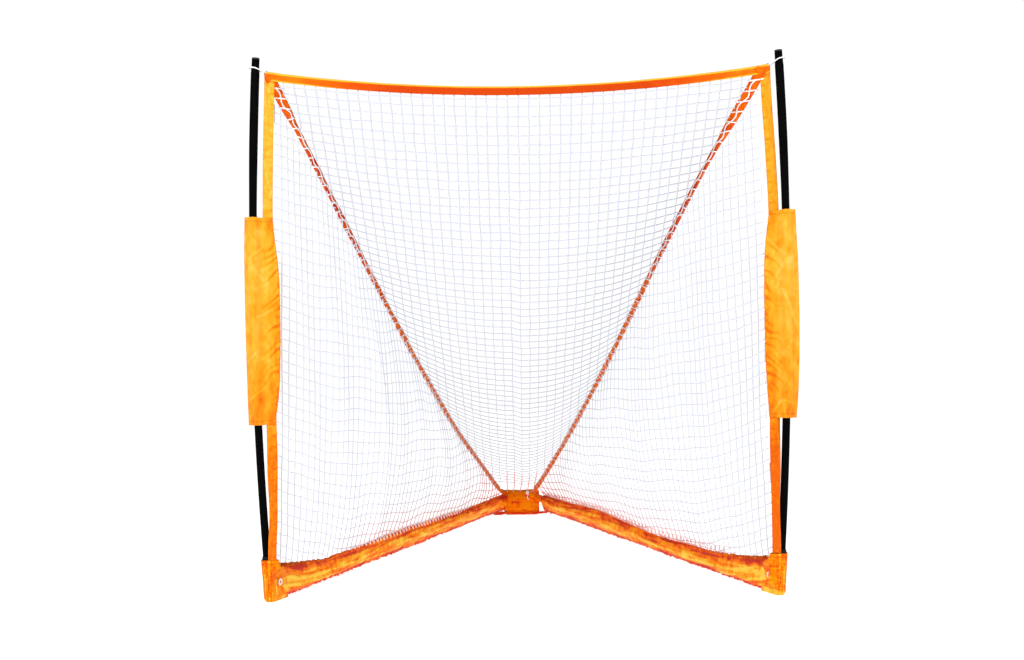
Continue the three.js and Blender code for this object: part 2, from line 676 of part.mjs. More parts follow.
function bandX(z) {
  const share = (z - BAND_LOW_Z) / (BAND_HIGH_Z - BAND_LOW_Z)
  return BAND_FOOT_X + (BAND_TOP_X - BAND_FOOT_X) * share + 4 * BAND_BOW * share * (1 - share)
}

function sideBand() {
  const half = BAND_WIDTH / 2
  const thick = BAND_THICK / 2
  return loft(evenly(BAND_STEPS).map((share) => {
    const z = BAND_LOW_Z + (BAND_HIGH_Z - BAND_LOW_Z) * share
    const x = bandX(z)
    const corners = [[x - half, -thick], [x + half, -thick], [x + half, thick], [x - half, thick]]
    return corners.map(([across, out]) => new THREE.Vector3(across, BAND_Y + out, z))
  }))
}
addPair('side_band', sideBand(), YELLOW_FABRIC)

function crossbarBand() {
  const points = evenly(CROSSBAR_STEPS).map((share) => {
    const x = CROSSBAR_HALF_LENGTH * (2 * share - 1)
    return new THREE.Vector3(x, BAND_Y, crossbarHeight(x))
  })
  return ribbon(points, points.map(() => new THREE.Vector3(0, 1, 0)), CROSSBAR_WIDTH, BAND_THICK)
}
add('crossbar_band', crossbarBand(), CROSSBAR_WEBBING)

// Diagonal straps, on the edge where the side and centre nets meet

function strapNormal(share) {
  const top = new THREE.Vector3(...STRAP_TOP_FACING_SHARES)
  const low = new THREE.Vector3(...STRAP_LOW_FACING_SHARES)
  return top.lerp(low, Math.min(share / STRAP_TURN_SHARE, 1)).normalize()
}

function diagonalStrap() {
  const shares = evenly(STRAP_STEPS)
  const normals = shares.map(strapNormal)
  const points = shares.map((share, i) => {
    const edge = panelPoint(share)
    edge.z = strapHeight(share)
    return edge.addScaledVector(normals[i], STRAP_STANDOFF)
  })
  return ribbon(points, normals, STRAP_WIDTH, STRAP_THICK)
}
addPair('diagonal_strap', diagonalStrap(), ORANGE_WEBBING)

// Pole pockets: a pouch round the pole, sewn to the side band

function pocketLoop(share, inset) {
  const z = POCKET_BOTTOM_Z + (POCKET_TOP_Z - POCKET_BOTTOM_Z) * share
  const pole = polePoint(z).x
  const band = bandX(z)
  const slim = BAND_THICK / 2 + 2 * CLEARANCE + FABRIC
  const inner = POCKET_INNER_X + POCKET_WAIST * (2 * share - 1) ** 4
  const bandFront = BAND_Y - slim
  const bandBack = BAND_Y + slim
  const outlet = pole + POCKET_OUTER_REACH
  const hem = FABRIC * POCKET_HEM_SHARE
  const hemWall = inset * POCKET_HEM_WALL_SHARE
  const rows = [
    [inner + 2 * inset, BAND_Y - hem, BAND_Y + hem, hemWall],
    [band - BAND_WIDTH / 2 - TUBE_ROOM, bandFront, bandBack, inset],
    [band, bandFront, bandBack, inset],
    [pole - POLE_RADIUS - TUBE_ROOM, -POCKET_BULGE / 2, bandBack, inset],
    [pole - POLE_RADIUS / 2, -POCKET_SHOULDER_SHARE * POCKET_BULGE, bandBack, inset],
    ...POCKET_ROUND_SHARES.map(([reach, bulge]) =>
      [pole + reach * POLE_RADIUS, -bulge * POCKET_BULGE, bulge * POCKET_BULGE, inset]),
    [outlet - 2 * inset, -hem, hem, hemWall]
  ]
  const front = rows.map(([x, y, , wall]) => new THREE.Vector3(x, y + wall, z))
  const back = rows.map(([x, , y, wall]) => new THREE.Vector3(x, y - wall, z)).reverse()
  return [...front, ...back]
}

function polePocket() {
  const outer = POCKET_ROW_SHARES.map((share) => pocketLoop(share, 0))
  const inner = POCKET_ROW_SHARES.map((share) => pocketLoop(share, FABRIC))
  return sleeve(outer, inner)
}
addPair('pole_pocket', polePocket(), YELLOW_FABRIC)

// Nets: a flat panel with a mesh of gaps, then bent to its place in the goal

function insetOutline(outline, by) {
  const count = outline.length
  const shifted = outline.map((from, i) => {
    const to = outline[(i + 1) % count]
    const along = to.clone().sub(from).normalize()
    const inwards = new THREE.Vector2(-along.y, along.x)
    return { from: from.clone().addScaledVector(inwards, by), along }
  })
  return shifted.map((edge, i) => {
    const before = shifted[(i + count - 1) % count]
    const cross = before.along.cross(edge.along)
    if (Math.abs(cross) < STRAIGHT_SHARE) return edge.from.clone()
    const reach = edge.from.clone().sub(before.from).cross(edge.along) / cross
    return before.from.clone().addScaledVector(before.along, reach)
  })
}

function prism(outline, low, high) {
  const options = { depth: high - low, bevelEnabled: false }
  const geometry = new THREE.ExtrudeGeometry(new THREE.Shape(outline), options)
  geometry.translate(0, 0, low)
  return solid(geometry)
}

function netGaps(outline) {
  const box = new THREE.Box2().setFromPoints(outline)
  const first = box.min.clone().divideScalar(NET_PITCH).floor()
  const last = box.max.clone().divideScalar(NET_PITCH).ceil()
  const side = NET_PITCH - NET_STRAND
  const field = prism(insetOutline(outline, NET_BORDER), -OVERRUN, NET_THICK + OVERRUN)
  const least = NET_LEAST_GAP_SHARE * side * side * (NET_THICK + 2 * OVERRUN)
  const gaps = []
  for (let column = first.x; column < last.x; column++) {
    for (let row = first.y; row < last.y; row++) {
      const cell = new THREE.BoxGeometry(side, side, NET_THICK + 4 * OVERRUN)
      cell.translate((column + 0.5) * NET_PITCH, (row + 0.5) * NET_PITCH, NET_THICK / 2)
      gaps.push(...solid(cell).intersect(field).decompose().filter((gap) => gap.volume() > least))
    }
  }
  return gaps
}

function lowFaces(geometry) {
  const { attributes: { position }, index } = geometry
  const faces = []
  for (let i = 0; i < index.count; i += 3) {
    const face = [index.getX(i), index.getX(i + 1), index.getX(i + 2)]
    if (face.every((at) => position.getZ(at) < NET_THICK / 2)) faces.push(face)
  }
  return faces
}

const edgesOf = ([a, b, c]) => [[a, b], [b, c], [c, a]]

// Both faces of a panel share one division into triangles, so that a bend never drives one through the other
function netPanel(outline, placed) {
  const gaps = netGaps(outline)
  const flat = geometryOf(gaps.reduce((body, gap) => body.subtract(gap), prism(outline, 0, NET_THICK)))
  const faces = lowFaces(flat)
  const { position } = flat.attributes
  const used = [...new Set(faces.flat())]
  const low = new Map(used.map((at, i) => [at, i]))
  const levels = [0, NET_THICK]
  const points = levels.flatMap((level) => used.map((at) => {
    const point = new THREE.Vector3(position.getX(at), position.getY(at), level)
    placed(point)
    return point
  }))
  const bottom = faces.map((face) => face.map((at) => low.get(at)))
  const top = bottom.map(([a, b, c]) => [a, c, b].map((at) => at + used.length))
  const walked = new Set(bottom.flatMap((face) => edgesOf(face).map((edge) => edge.join())))
  const rim = bottom.flatMap(edgesOf).filter(([a, b]) => !walked.has([b, a].join()))
  const walls = rim.flatMap(([a, b]) => [[b, a, a + used.length], [b, a + used.length, b + used.length]])
  return indexed(points.flatMap((point) => point.toArray()), [...bottom, ...top, ...walls].flat())
}

// Side nets: upright from the sleeve's ridge to the strap, drawn in a little between them

const sideTop = (share) => strapHeight(share) - NET_STRAP_GAP
const sideFoot = (share) => ridgeHeight(share) + 2 * CLEARANCE

function sideNet() {
  const foot = SLEEVE_RIDGE_SHARES.map(([share]) => new THREE.Vector2(share * PANEL_LENGTH, sideFoot(share)))
  const top = evenly(NET_EDGE_STEPS).slice(0, -1).reverse()
    .map((share) => new THREE.Vector2(share * PANEL_LENGTH, sideTop(share)))
  return netPanel([...foot, ...top], (point) => {
    const share = Math.min(Math.max(point.x / PANEL_LENGTH, 0), 1)
    const low = sideFoot(share)
    const height = (point.y - low) / Math.max(sideTop(share) - low, NET_BORDER)
    const bow = NET_BOW * 4 * share * (1 - share) * Math.sin(Math.PI * Math.min(Math.max(height, 0), 1))
    const z = point.y
    const depth = point.z - NET_THICK / 2
    point.copy(panelPoint(share)).addScaledVector(INWARD, bow + depth)
    point.z = z
  })
}
addPair('side_net', sideNet(), WHITE_CORD)

// Centre net: from the crossbar band down to the apex wrap, slung between the straps

const wrapHalfDepth = bracketDepth / 2 + WRAP_ROOM + WRAP_FABRIC
const wrapFront = bracketMiddle - wrapHalfDepth
const slopeLength = Math.hypot(NET_REAR.y - NET_FRONT_Y, STRAP_TOP_Z - STRAP_END_Z)
const netStartShare = depthShare(BAND_Y + BAND_THICK / 2 + CLEARANCE)
const netEndShare = depthShare(wrapFront - CLEARANCE)

function netHalfWidth(share) {
  const edge = NET_FRONT_X + (NET_REAR.x - NET_FRONT_X) * share - 2 * NET_STRAP_GAP
  return share > 1 ? Math.min(edge, WRAP_HALF_WIDTH - NET_STRAP_GAP) : edge
}

function netHeight(x, share) {
  const inside = Math.min(Math.max(share, 0), 1)
  const edge = strapHeight(inside) - NET_STRAP_GAP
  const dip = NET_DIP_TOP * (1 - inside) + NET_DIP_MIDDLE * 4 * inside * (1 - inside)
  const across = Math.min(Math.abs(x) / netHalfWidth(inside), 1)
  return edge - dip * (1 - across ** 2)
}

function centreNet() {
  const shares = [netStartShare, ...evenly(10).slice(1), netEndShare]
  const right = shares.map((share) => new THREE.Vector2(netHalfWidth(share), share * slopeLength))
  const left = right.map((point) => new THREE.Vector2(-point.x, point.y)).reverse()
  const top = evenly(8).slice(1, -1).map((share) =>
    new THREE.Vector2(netHalfWidth(netStartShare) * (2 * share - 1), netStartShare * slopeLength))
  return netPanel([...top, ...right, ...left], (point) => {
    const share = point.y / slopeLength
    const depth = point.z
    point.y = NET_FRONT_Y + (NET_REAR.y - NET_FRONT_Y) * share
    point.z = netHeight(point.x, share) + depth
  })
}
add('centre_net', centreNet(), WHITE_CORD)

// Apex wrap and the tie strap in front of it

function wrapLoop(across, inset) {
  const gather = WRAP_GATHER * across ** 2
  const halfDepth = wrapHalfDepth - inset - gather / 2
  const halfHeight = (WRAP_HEIGHT - CLEARANCE) / 2 - inset - gather / 2
  const x = WRAP_HALF_WIDTH * across
  return Array.from({ length: FINE_SIDES }, (_, k) => {
    const angle = 2 * Math.PI * k / FINE_SIDES
    const y = halfDepth * Math.sign(Math.cos(angle)) * Math.sqrt(Math.abs(Math.cos(angle)))
    const z = halfHeight * Math.sign(Math.sin(angle)) * Math.sqrt(Math.abs(Math.sin(angle)))
    return new THREE.Vector3(x, bracketMiddle + y, (WRAP_HEIGHT + CLEARANCE) / 2 + z)
  })
}

function apexWrap() {
  const stations = evenly(WRAP_STEPS).map((share) => 2 * share - 1)
  const outer = stations.map((at) => wrapLoop(at, 0))
  const inner = stations.map((at) => wrapLoop(at, WRAP_FABRIC))
  const cover = solid(sleeve(outer, inner))
  const width = footWidth + 2 * WRAP_SEAT
  const opening = new THREE.BoxGeometry(width, bracketDepth + 2 * WRAP_SEAT, 2 * FOOT_HEIGHT)
  opening.translate(0, bracketMiddle, 0)
  const way = rod(ARM_RADIUS + WRAP_ROOM / 2, BARREL_RADIUS, SLEEVE_REAR_DISTANCE, PIVOT, ARM_AXIS)
  return geometryOf([opening, way, mirrored(way)].reduce((body, cut) => body.subtract(solid(cut)), cover))
}
add('apex_wrap', apexWrap(), ORANGE_FABRIC)

function apexTie() {
  const halfHeight = (WRAP_HEIGHT - CLEARANCE) / 2
  const roundness = (1 - ((halfHeight - TIE_WIDTH) / halfHeight) ** 4) ** (1 / 4)
  const y = bracketMiddle - wrapHalfDepth * roundness - TIE_THICK / 2 - CLEARANCE
  const stops = [-TIE_HALF_LENGTH - TIE_TAIL, -TIE_HALF_LENGTH, 0, TIE_HALF_LENGTH]
  const points = stops.map((x) => new THREE.Vector3(x, y, TIE_WIDTH / 2 + CLEARANCE))
  return ribbon(points, points.map(() => new THREE.Vector3(0, 1, 0)), TIE_WIDTH, TIE_THICK)
}
add('apex_tie', apexTie(), ORANGE_WEBBING)

// Grommets at the boots, eyelets at the top corners and the cords that hold them to the poles

function loopReach(loop, centre, z) {
  const crossings = loop.map((point, i) => {
    const next = loop[(i + 1) % loop.length]
    if ((point.z - z) * (next.z - z) >= 0) return 0
    return point.clone().lerp(next, (z - point.z) / (next.z - point.z)).sub(centre).dot(INWARD)
  })
  return Math.max(...crossings)
}

function cornerGrommet() {
  const low = GROMMET_Z - GROMMET_RADIUS
  const end = ARM_LENGTH - BOOT_REACH
  const front = loopReach(tunnelLoop(ARM_LENGTH, 0, 0), armPoint(ARM_LENGTH), low)
  const back = loopReach(tunnelLoop(end, 0), armPoint(end), low)
  const seat = armPoint(ARM_LENGTH - BOOT_REACH / 2)
  seat.addScaledVector(INWARD, (front + back) / 2 + 2 * CLEARANCE)
  seat.z = GROMMET_Z
  return ring(GROMMET_RADIUS, GROMMET_BORE, 0, GROMMET_THICK, seat, INWARD)
}
addPair('corner_grommet', cornerGrommet(), STEEL)

const cordHeight = CROSSBAR_CORNER_Z + CORD_RISE
const eyeletFront = BAND_Y - BAND_THICK / 2 - CLEARANCE
const eyeletPlace = new THREE.Vector3(CROSSBAR_HALF_LENGTH - EYELET_RADIUS, eyeletFront, cordHeight)
const eyelet = ring(EYELET_RADIUS, EYELET_BORE, 0, EYELET_THICK, eyeletPlace, new THREE.Vector3(0, -1, 0))
addPair('corner_eyelet', eyelet, STEEL)

function cornerCord() {
  const reach = POLE_RADIUS + CLEARANCE + CORD_RADIUS + CORD_SLACK
  const inner = CROSSBAR_HALF_LENGTH + reach + CLEARANCE
  const outer = Math.max(polePoint(cordHeight).x + CLEARANCE - CORD_SLACK, inner)
  const geometry = new THREE.TorusGeometry(reach, CORD_RADIUS, 8, FINE_SIDES)
  const position = geometry.attributes.position
  for (let i = 0; i < position.count; i++) {
    const middle = position.getX(i) < -STRAIGHT_SHARE * reach ? inner : outer
    position.setXYZ(i, middle + position.getX(i), position.getY(i), cordHeight + position.getZ(i))
  }
  return geometry
}
addPair('corner_cord', cornerCord(), WHITE_CORD)

// Stand the goal on the ground, centred on its own box

const bounds = new THREE.Box3().setFromObject(group)
const shift = bounds.getCenter(new THREE.Vector3()).negate().setZ(-bounds.min.z)
group.children.forEach((mesh) => mesh.geometry.translate(shift.x, shift.y, shift.z))

export default group
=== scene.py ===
import json
import math

import bpy
import numpy as np
from mathutils import Matrix, Vector, noise


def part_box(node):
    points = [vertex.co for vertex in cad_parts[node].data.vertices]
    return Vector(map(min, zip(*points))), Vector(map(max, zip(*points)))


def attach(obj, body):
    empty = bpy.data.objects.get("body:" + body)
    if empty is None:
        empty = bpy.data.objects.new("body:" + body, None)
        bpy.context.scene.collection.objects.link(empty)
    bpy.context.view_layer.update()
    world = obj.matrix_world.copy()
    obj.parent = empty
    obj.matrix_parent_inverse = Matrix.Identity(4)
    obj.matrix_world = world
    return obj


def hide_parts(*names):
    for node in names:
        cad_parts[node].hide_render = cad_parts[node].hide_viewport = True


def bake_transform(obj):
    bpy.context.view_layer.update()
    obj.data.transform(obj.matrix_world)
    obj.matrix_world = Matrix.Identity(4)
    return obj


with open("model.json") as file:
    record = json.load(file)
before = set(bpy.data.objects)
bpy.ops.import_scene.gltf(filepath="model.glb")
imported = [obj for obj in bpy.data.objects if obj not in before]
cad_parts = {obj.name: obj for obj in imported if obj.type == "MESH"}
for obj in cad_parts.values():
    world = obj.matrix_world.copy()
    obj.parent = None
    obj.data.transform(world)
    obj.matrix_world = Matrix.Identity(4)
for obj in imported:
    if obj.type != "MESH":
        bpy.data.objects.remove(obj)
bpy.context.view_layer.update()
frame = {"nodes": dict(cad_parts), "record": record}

# Millimetres in the goal's own axes: x across the mouth, y from the mouth to the apex, z up.
# The CAD frame is the same, in metres and centred on the goal's box.
CENTRE_Y = 1115.2


def placed(points):
    points = np.asarray(points, float).reshape(-1, 3)
    return (points - (0, CENTRE_Y, 0)) / 1000


# Camera, at the photograph's viewing angle
FOCAL = 1087.8
IMAGE_WIDTH = 1024
SENSOR = 36
EYE = (-16.3, -4031.4, 873.2)
YAW = math.radians(-0.23)
PITCH = math.radians(1.63)
ROLL = math.radians(0.83)


def make_camera():
    ahead = Vector((math.sin(YAW) * math.cos(PITCH), math.cos(YAW) * math.cos(PITCH), math.sin(PITCH)))
    level = Vector((math.cos(YAW), -math.sin(YAW), 0))
    above = level.cross(ahead)
    right = level * math.cos(ROLL) - above * math.sin(ROLL)
    up = level * math.sin(ROLL) + above * math.cos(ROLL)
    data = bpy.data.cameras.new("camera")
    data.sensor_width = SENSOR
    data.lens = SENSOR * FOCAL / IMAGE_WIDTH
    data.clip_end = 100
    camera = bpy.data.objects.new("camera", data)
    turn = Matrix((right, up, -ahead)).transposed().to_4x4()
    camera.matrix_world = Matrix.Translation(placed(EYE)[0]) @ turn
    bpy.context.scene.collection.objects.link(camera)
    bpy.context.scene.camera = camera


make_camera()
bpy.context.scene.view_settings.view_transform = "Standard"

# Sizes shared with the CAD
POLE_RADIUS = 14.3
POLE_FOOT_X = 937
POLE_FOOT_Z = 14
POLE_TIP_Z = 2012
POLE_LEAN = 39
POLE_BOW = 31.4
SOCKET_MIDDLE_Z = 87
ARM_FRONT_Z = 26
PIVOT = np.array((75.0, 2210.0, 98.0))
SLEEVE_REAR_DISTANCE = 105
SLEEVE_CORNER_HEIGHT = 139
SLEEVE_RIDGE_SHARES = ((0, 1), (0.07, 0.81), (0.15, 0.67), (0.25, 0.63), (0.4, 0.6), (0.55, 0.71),
                       (0.65, 0.8), (0.82, 0.79), (1, 0.87))
BAND_Y = 17
BAND_WIDTH = 38
CROSSBAR_CORNER_Z = 1955
CROSSBAR_HALF_LENGTH = 946
CROSSBAR_SAG = 70
STRAP_TOP_Z = 1922
STRAP_END_RISE = 7
STRAP_SAG = 75
STRAP_WIDTH = 38
NET_FRONT = np.array((918.0, 26.0))
NET_BOW = 50
NET_DIP_TOP = 72
NET_DIP_MIDDLE = 175
BRACKET_MIDDLE_Y = 2209.5

# Sizes that only the dressed goal has. Tables run over a share of the way back or up, or over a height.
MESH = 40.0
NET_RADIUS = 2.7
GROUND_GAP = 0.9
CREST_LIFTS = {-1: (26, 0.42, 0.17), 1: (12, 0.7, 0.2)}
DRAWS = {-1: ((-0.02, 0), (0.08, 11), (0.25, 8), (0.5, -6), (0.75, -20), (0.88, 0), (1.1, 8)),
         1: ((-0.02, 8), (0.08, 50), (0.16, 72), (0.3, 82), (0.5, 70), (0.75, 56), (1.1, 56))}
SIDES = (("left", -1), ("right", 1))


def smooth(t):
    t = np.clip(t, 0, 1)
    return t * t * (3 - 2 * t)


def hump(offset, width):
    """1 where the offset is 0, fading to nothing over about twice the width."""
    return math.exp(-(offset / width) ** 2)


def ripple(x, y, z):
    """Smooth noise from about -1 to 1, with features about 1 across."""
    return noise.noise(Vector((x, y, z)))


def lengths_along(path):
    """How far along the path each of its points lies."""
    return np.concatenate([[0], np.cumsum(np.linalg.norm(np.diff(path, axis=0), axis=1))])


def averaged(table, places):
    """The later columns of a table, each read at the places and averaged, which rounds its corners."""
    stops, *columns = zip(*table)
    return [np.interp(places, stops, column).mean() for column in columns]


def mirror(points, sign):
    points = np.array(points, float)
    points[..., 0] *= sign
    return points


def pole_point(z):
    share = (np.asarray(z, float) - POLE_FOOT_Z) / (POLE_TIP_Z - POLE_FOOT_Z)
    x = POLE_FOOT_X + POLE_LEAN * share + 4 * POLE_BOW * share * (1 - share)
    return np.stack([x, np.zeros_like(x), z * np.ones_like(x)], -1)


def socket_point(z):
    """The socket is straight, along the pole's direction at the socket's middle."""
    rise = POLE_TIP_Z - POLE_FOOT_Z
    share = (SOCKET_MIDDLE_Z - POLE_FOOT_Z) / rise
    slope = (POLE_LEAN + 4 * POLE_BOW * (1 - 2 * share)) / rise
    return pole_point(SOCKET_MIDDLE_Z) + (z - SOCKET_MIDDLE_Z) * np.array((slope, 0, 1))


CORNER = pole_point(ARM_FRONT_Z)
ARM_LENGTH = float(np.linalg.norm(CORNER - PIVOT))
ARM_AXIS = (CORNER - PIVOT) / ARM_LENGTH
INWARD = np.array((ARM_AXIS[1], -ARM_AXIS[0], 0)) / np.hypot(ARM_AXIS[0], ARM_AXIS[1])
REAR = (PIVOT + ARM_AXIS * SLEEVE_REAR_DISTANCE)[:2]
PANEL = float(np.linalg.norm(REAR - NET_FRONT))
DEEP = REAR[1] - NET_FRONT[1]


def share_at(y):
    """How far back a place is, from 0 at the front of the net to 1 at its rear."""
    return (y - NET_FRONT[1]) / DEEP


def arm_point(distance):
    return PIVOT + np.multiply.outer(distance, ARM_AXIS)


def panel_point(share):
    share = np.asarray(share, float)[..., None]
    return NET_FRONT * (1 - share) + REAR * share


def drawn_in(share, sign):
    """How far the netting pulls a strap towards the middle of the goal."""
    return averaged(DRAWS[sign], share + np.linspace(-0.05, 0.05, 7))[0]


def ridge_height(share):
    return SLEEVE_CORNER_HEIGHT * np.interp(share, *zip(*SLEEVE_RIDGE_SHARES))


def crest_height(share, sign):
    """The top of a base sleeve, lifted a little where the netting pulls it up."""
    lift, middle, spread = CREST_LIFTS[sign]
    return ridge_height(share) + lift * hump(share - middle, spread)


def strap_height(share):
    end = ridge_height(1) + STRAP_END_RISE
    return STRAP_TOP_Z + (end - STRAP_TOP_Z) * share - 4 * STRAP_SAG * share * (1 - share)


def crossbar_height(x):
    return CROSSBAR_CORNER_Z - CROSSBAR_SAG * (1 - (x / CROSSBAR_HALF_LENGTH) ** 2)


# Materials: node-based, with coordinates from each piece's own mesh


class Nodes:
    def __init__(self, name):
        self.material = bpy.data.materials.new(name)
        self.material.use_nodes = True
        self.tree = self.material.node_tree
        self.tree.nodes.clear()
        self.shader = self.add("ShaderNodeBsdfPrincipled")
        self.join(self.shader.outputs[0], self.add("ShaderNodeOutputMaterial").inputs["Surface"])

    def add(self, kind, **values):
        node = self.tree.nodes.new(kind)
        for key, value in values.items():
            setattr(node, key, value)
        return node

    def join(self, a, b):
        self.tree.links.new(a, b)

    def put(self, socket, value):
        if isinstance(value, bpy.types.NodeSocket):
            self.join(value, socket)
        else:
            socket.default_value = value

    def maths(self, operation, a, b=0.0, c=0.0):
        node = self.add("ShaderNodeMath", operation=operation)
        for socket, value in zip(node.inputs, (a, b, c)):
            self.put(socket, value)
        return node.outputs[0]

    def noise(self, coordinates, scale, detail, rough):
        node = self.add("ShaderNodeTexNoise")
        self.join(coordinates, node.inputs["Vector"])
        for key, value in (("Scale", scale), ("Detail", detail), ("Roughness", rough)):
            node.inputs[key].default_value = value
        return node.outputs[0]

    def ramp(self, factor, stops):
        node = self.add("ShaderNodeValToRGB")
        while len(node.color_ramp.elements) < len(stops):
            node.color_ramp.elements.new(0.5)
        for element, (place, colour) in zip(node.color_ramp.elements, stops):
            element.position = place
            element.color = (*colour, 1)
        self.put(node.inputs[0], factor)
        return node.outputs[0]

    def mix(self, factor, a, b, blend="MIX"):
        node = self.add("ShaderNodeMix", data_type="RGBA", blend_type=blend)
        for socket, value in zip((node.inputs[0], node.inputs[6], node.inputs[7]), (factor, a, b)):
            self.put(socket, (*value, 1) if isinstance(value, tuple) else value)
        return node.outputs[2]

    def bump(self, height, distance):
        node = self.add("ShaderNodeBump")
        node.inputs["Distance"].default_value = distance
        self.join(height, node.inputs["Height"])
        self.join(node.outputs[0], self.shader.inputs["Normal"])

    def scaled(self, vector, factors):
        node = self.add("ShaderNodeVectorMath", operation="MULTIPLY")
        self.join(vector, node.inputs[0])
        node.inputs[1].default_value = factors
        return node.outputs[0]

    def parts(self, vector):
        split = self.add("ShaderNodeSeparateXYZ")
        self.join(vector, split.inputs[0])
        return split.outputs

    def map(self, name):
        return self.add("ShaderNodeUVMap", uv_map=name).outputs[0]

    def shade(self):
        """What the mesh's second map says of a spot: painted light and shade on cloth, and painted reflection
        of the orange cloth on a cord.
        """
        return self.parts(self.map("shade"))[0]

    def set(self, **values):
        for key, value in values.items():
            self.put(self.shader.inputs[key.replace("_", " ")], value)


THREAD_HEIGHT = 0.0002
CRUMPLE_HEIGHT = 0.004
FIBRE_HEIGHT = 0.0003
# The colour of the painted reflection of the orange cloth on a white cord.
PAINTED_CLOTH_REFLECTION = (0.8, 0.24, 0.2)


def weave_height(n, uv, pitch):
    """Plain weave from two crossed waves. uv is in millimetres along and across the cloth."""
    along, across = n.parts(uv)[:2]
    turn = 2 * math.pi / pitch
    waves = [n.maths("SINE", n.maths("MULTIPLY", way, turn)) for way in (along, across)]
    return n.maths("MULTIPLY", *waves)


def cloth_material(name, stops, along=120.0, around=18.0, crumple=26.0, contrast=1.5, rough=0.5, pitch=1.6,
                   gloss=0.25, sheen=0.08):
    """Woven cloth: streaks, crumples and threads, in millimetres of cloth. The streaks and crumples bump the
    cloth and also paint satin highlights and shade into its colour, and the second map adds more painted
    light and shade; stops run from shade to light.
    """
    n = Nodes(name)
    uv = n.map("cloth")
    streaks = n.noise(n.scaled(uv, (1 / along, 1 / around, 1)), 1.0, 3, 0.55)
    crumples = n.noise(n.scaled(uv, (1 / crumple, 1 / crumple, 1)), 1.0, 4, 0.6)
    satin_folds_and_sheen = n.maths("ADD", n.maths("MULTIPLY", streaks, 0.6), n.maths("MULTIPLY", crumples, 0.4))
    painted_light = n.maths("MULTIPLY_ADD", n.maths("SUBTRACT", satin_folds_and_sheen, 0.5), contrast, 0.5)
    # Painted light and shade: the mottled satin highlights and the second map, read through the stops from
    # shade to light.
    colour = n.ramp(n.maths("ADD", painted_light, n.shade()), stops)
    threads = weave_height(n, uv, pitch)
    grey = n.ramp(n.maths("MULTIPLY_ADD", threads, 0.04, 0.97), [(0, (0, 0, 0)), (1, (1, 1, 1))])
    n.set(Base_Color=n.mix(1.0, colour, grey, "MULTIPLY"))
    n.set(Roughness=n.maths("MULTIPLY_ADD", crumples, 0.25, rough - 0.12))
    lightest = (*stops[-1][1], 1)
    n.set(Specular_IOR_Level=gloss, Specular_Tint=lightest)
    n.set(Sheen_Weight=sheen, Sheen_Roughness=0.4, Sheen_Tint=lightest)
    satin_folds_and_sheen = n.maths("MULTIPLY", satin_folds_and_sheen, CRUMPLE_HEIGHT)
    n.bump(n.maths("ADD", n.maths("MULTIPLY", threads, THREAD_HEIGHT), satin_folds_and_sheen), 1.0)
    return n.material


def hard_material(name, base, rough, metal=0.0, speck=0.08, bump=0.00008, scale=90.0, gloss=0.5, ior=1.5):
    n = Nodes(name)
    where = n.add("ShaderNodeTexCoord").outputs["Object"]
    grain = n.noise(where, scale, 4, 0.6)
    wear = n.noise(where, scale / 8, 3, 0.5)
    lighter = tuple(min(1, c + speck) for c in base)
    n.set(Base_Color=n.ramp(wear, [(0.35, base), (0.75, lighter)]), Metallic=metal)
    n.set(Roughness=n.maths("MULTIPLY_ADD", grain, 0.25, rough - 0.12))
    n.set(IOR=ior, Specular_IOR_Level=gloss)
    n.bump(grain, bump)
    return n.material


def cord_material(name, base, shade):
    """Braided cord. The second map says how much painted reflection of the orange cloth beside it tints the
    cord.
    """
    n = Nodes(name)
    fibre = n.noise(n.add("ShaderNodeTexCoord").outputs["Object"], 420, 3, 0.65)
    n.set(Base_Color=n.mix(n.shade(), n.ramp(fibre, [(0.3, shade), (0.7, base)]), PAINTED_CLOTH_REFLECTION))
    n.set(Roughness=n.maths("MULTIPLY_ADD", fibre, 0.2, 0.7))
    n.bump(fibre, FIBRE_HEIGHT)
    return n.material


SLEEVE_CLOTH = cloth_material(
    "orange_satin", [(0.08, (0.58, 0.03, 0.012)), (0.3, (0.86, 0.09, 0.004)), (0.5, (1.0, 0.2, 0.002)),
                     (0.7, (1.0, 0.33, 0.003)), (0.92, (1.0, 0.62, 0.06))],
    around=12.0, crumple=13.0, contrast=2.5, rough=0.45, gloss=0.1, sheen=0.0)
WRAP_CLOTH = cloth_material(
    "orange_wrap_cloth", [(0.1, (0.55, 0.02, 0.012)), (0.36, (0.95, 0.13, 0.002)),
                          (0.85, (1.0, 0.29, 0.003))],
    along=90.0, around=6.0, crumple=10.0, contrast=3.4, gloss=0.1, sheen=0.0)
POCKET_CLOTH = cloth_material(
    "yellow_satin", [(0.08, (0.85, 0.13, 0.003)), (0.3, (0.98, 0.24, 0.004)), (0.5, (1.0, 0.35, 0.01)),
                     (0.72, (1.0, 0.46, 0.035)), (0.95, (1.0, 0.6, 0.11))],
    along=70.0, around=30.0, crumple=40.0, contrast=1.3, rough=0.38, gloss=0.4)
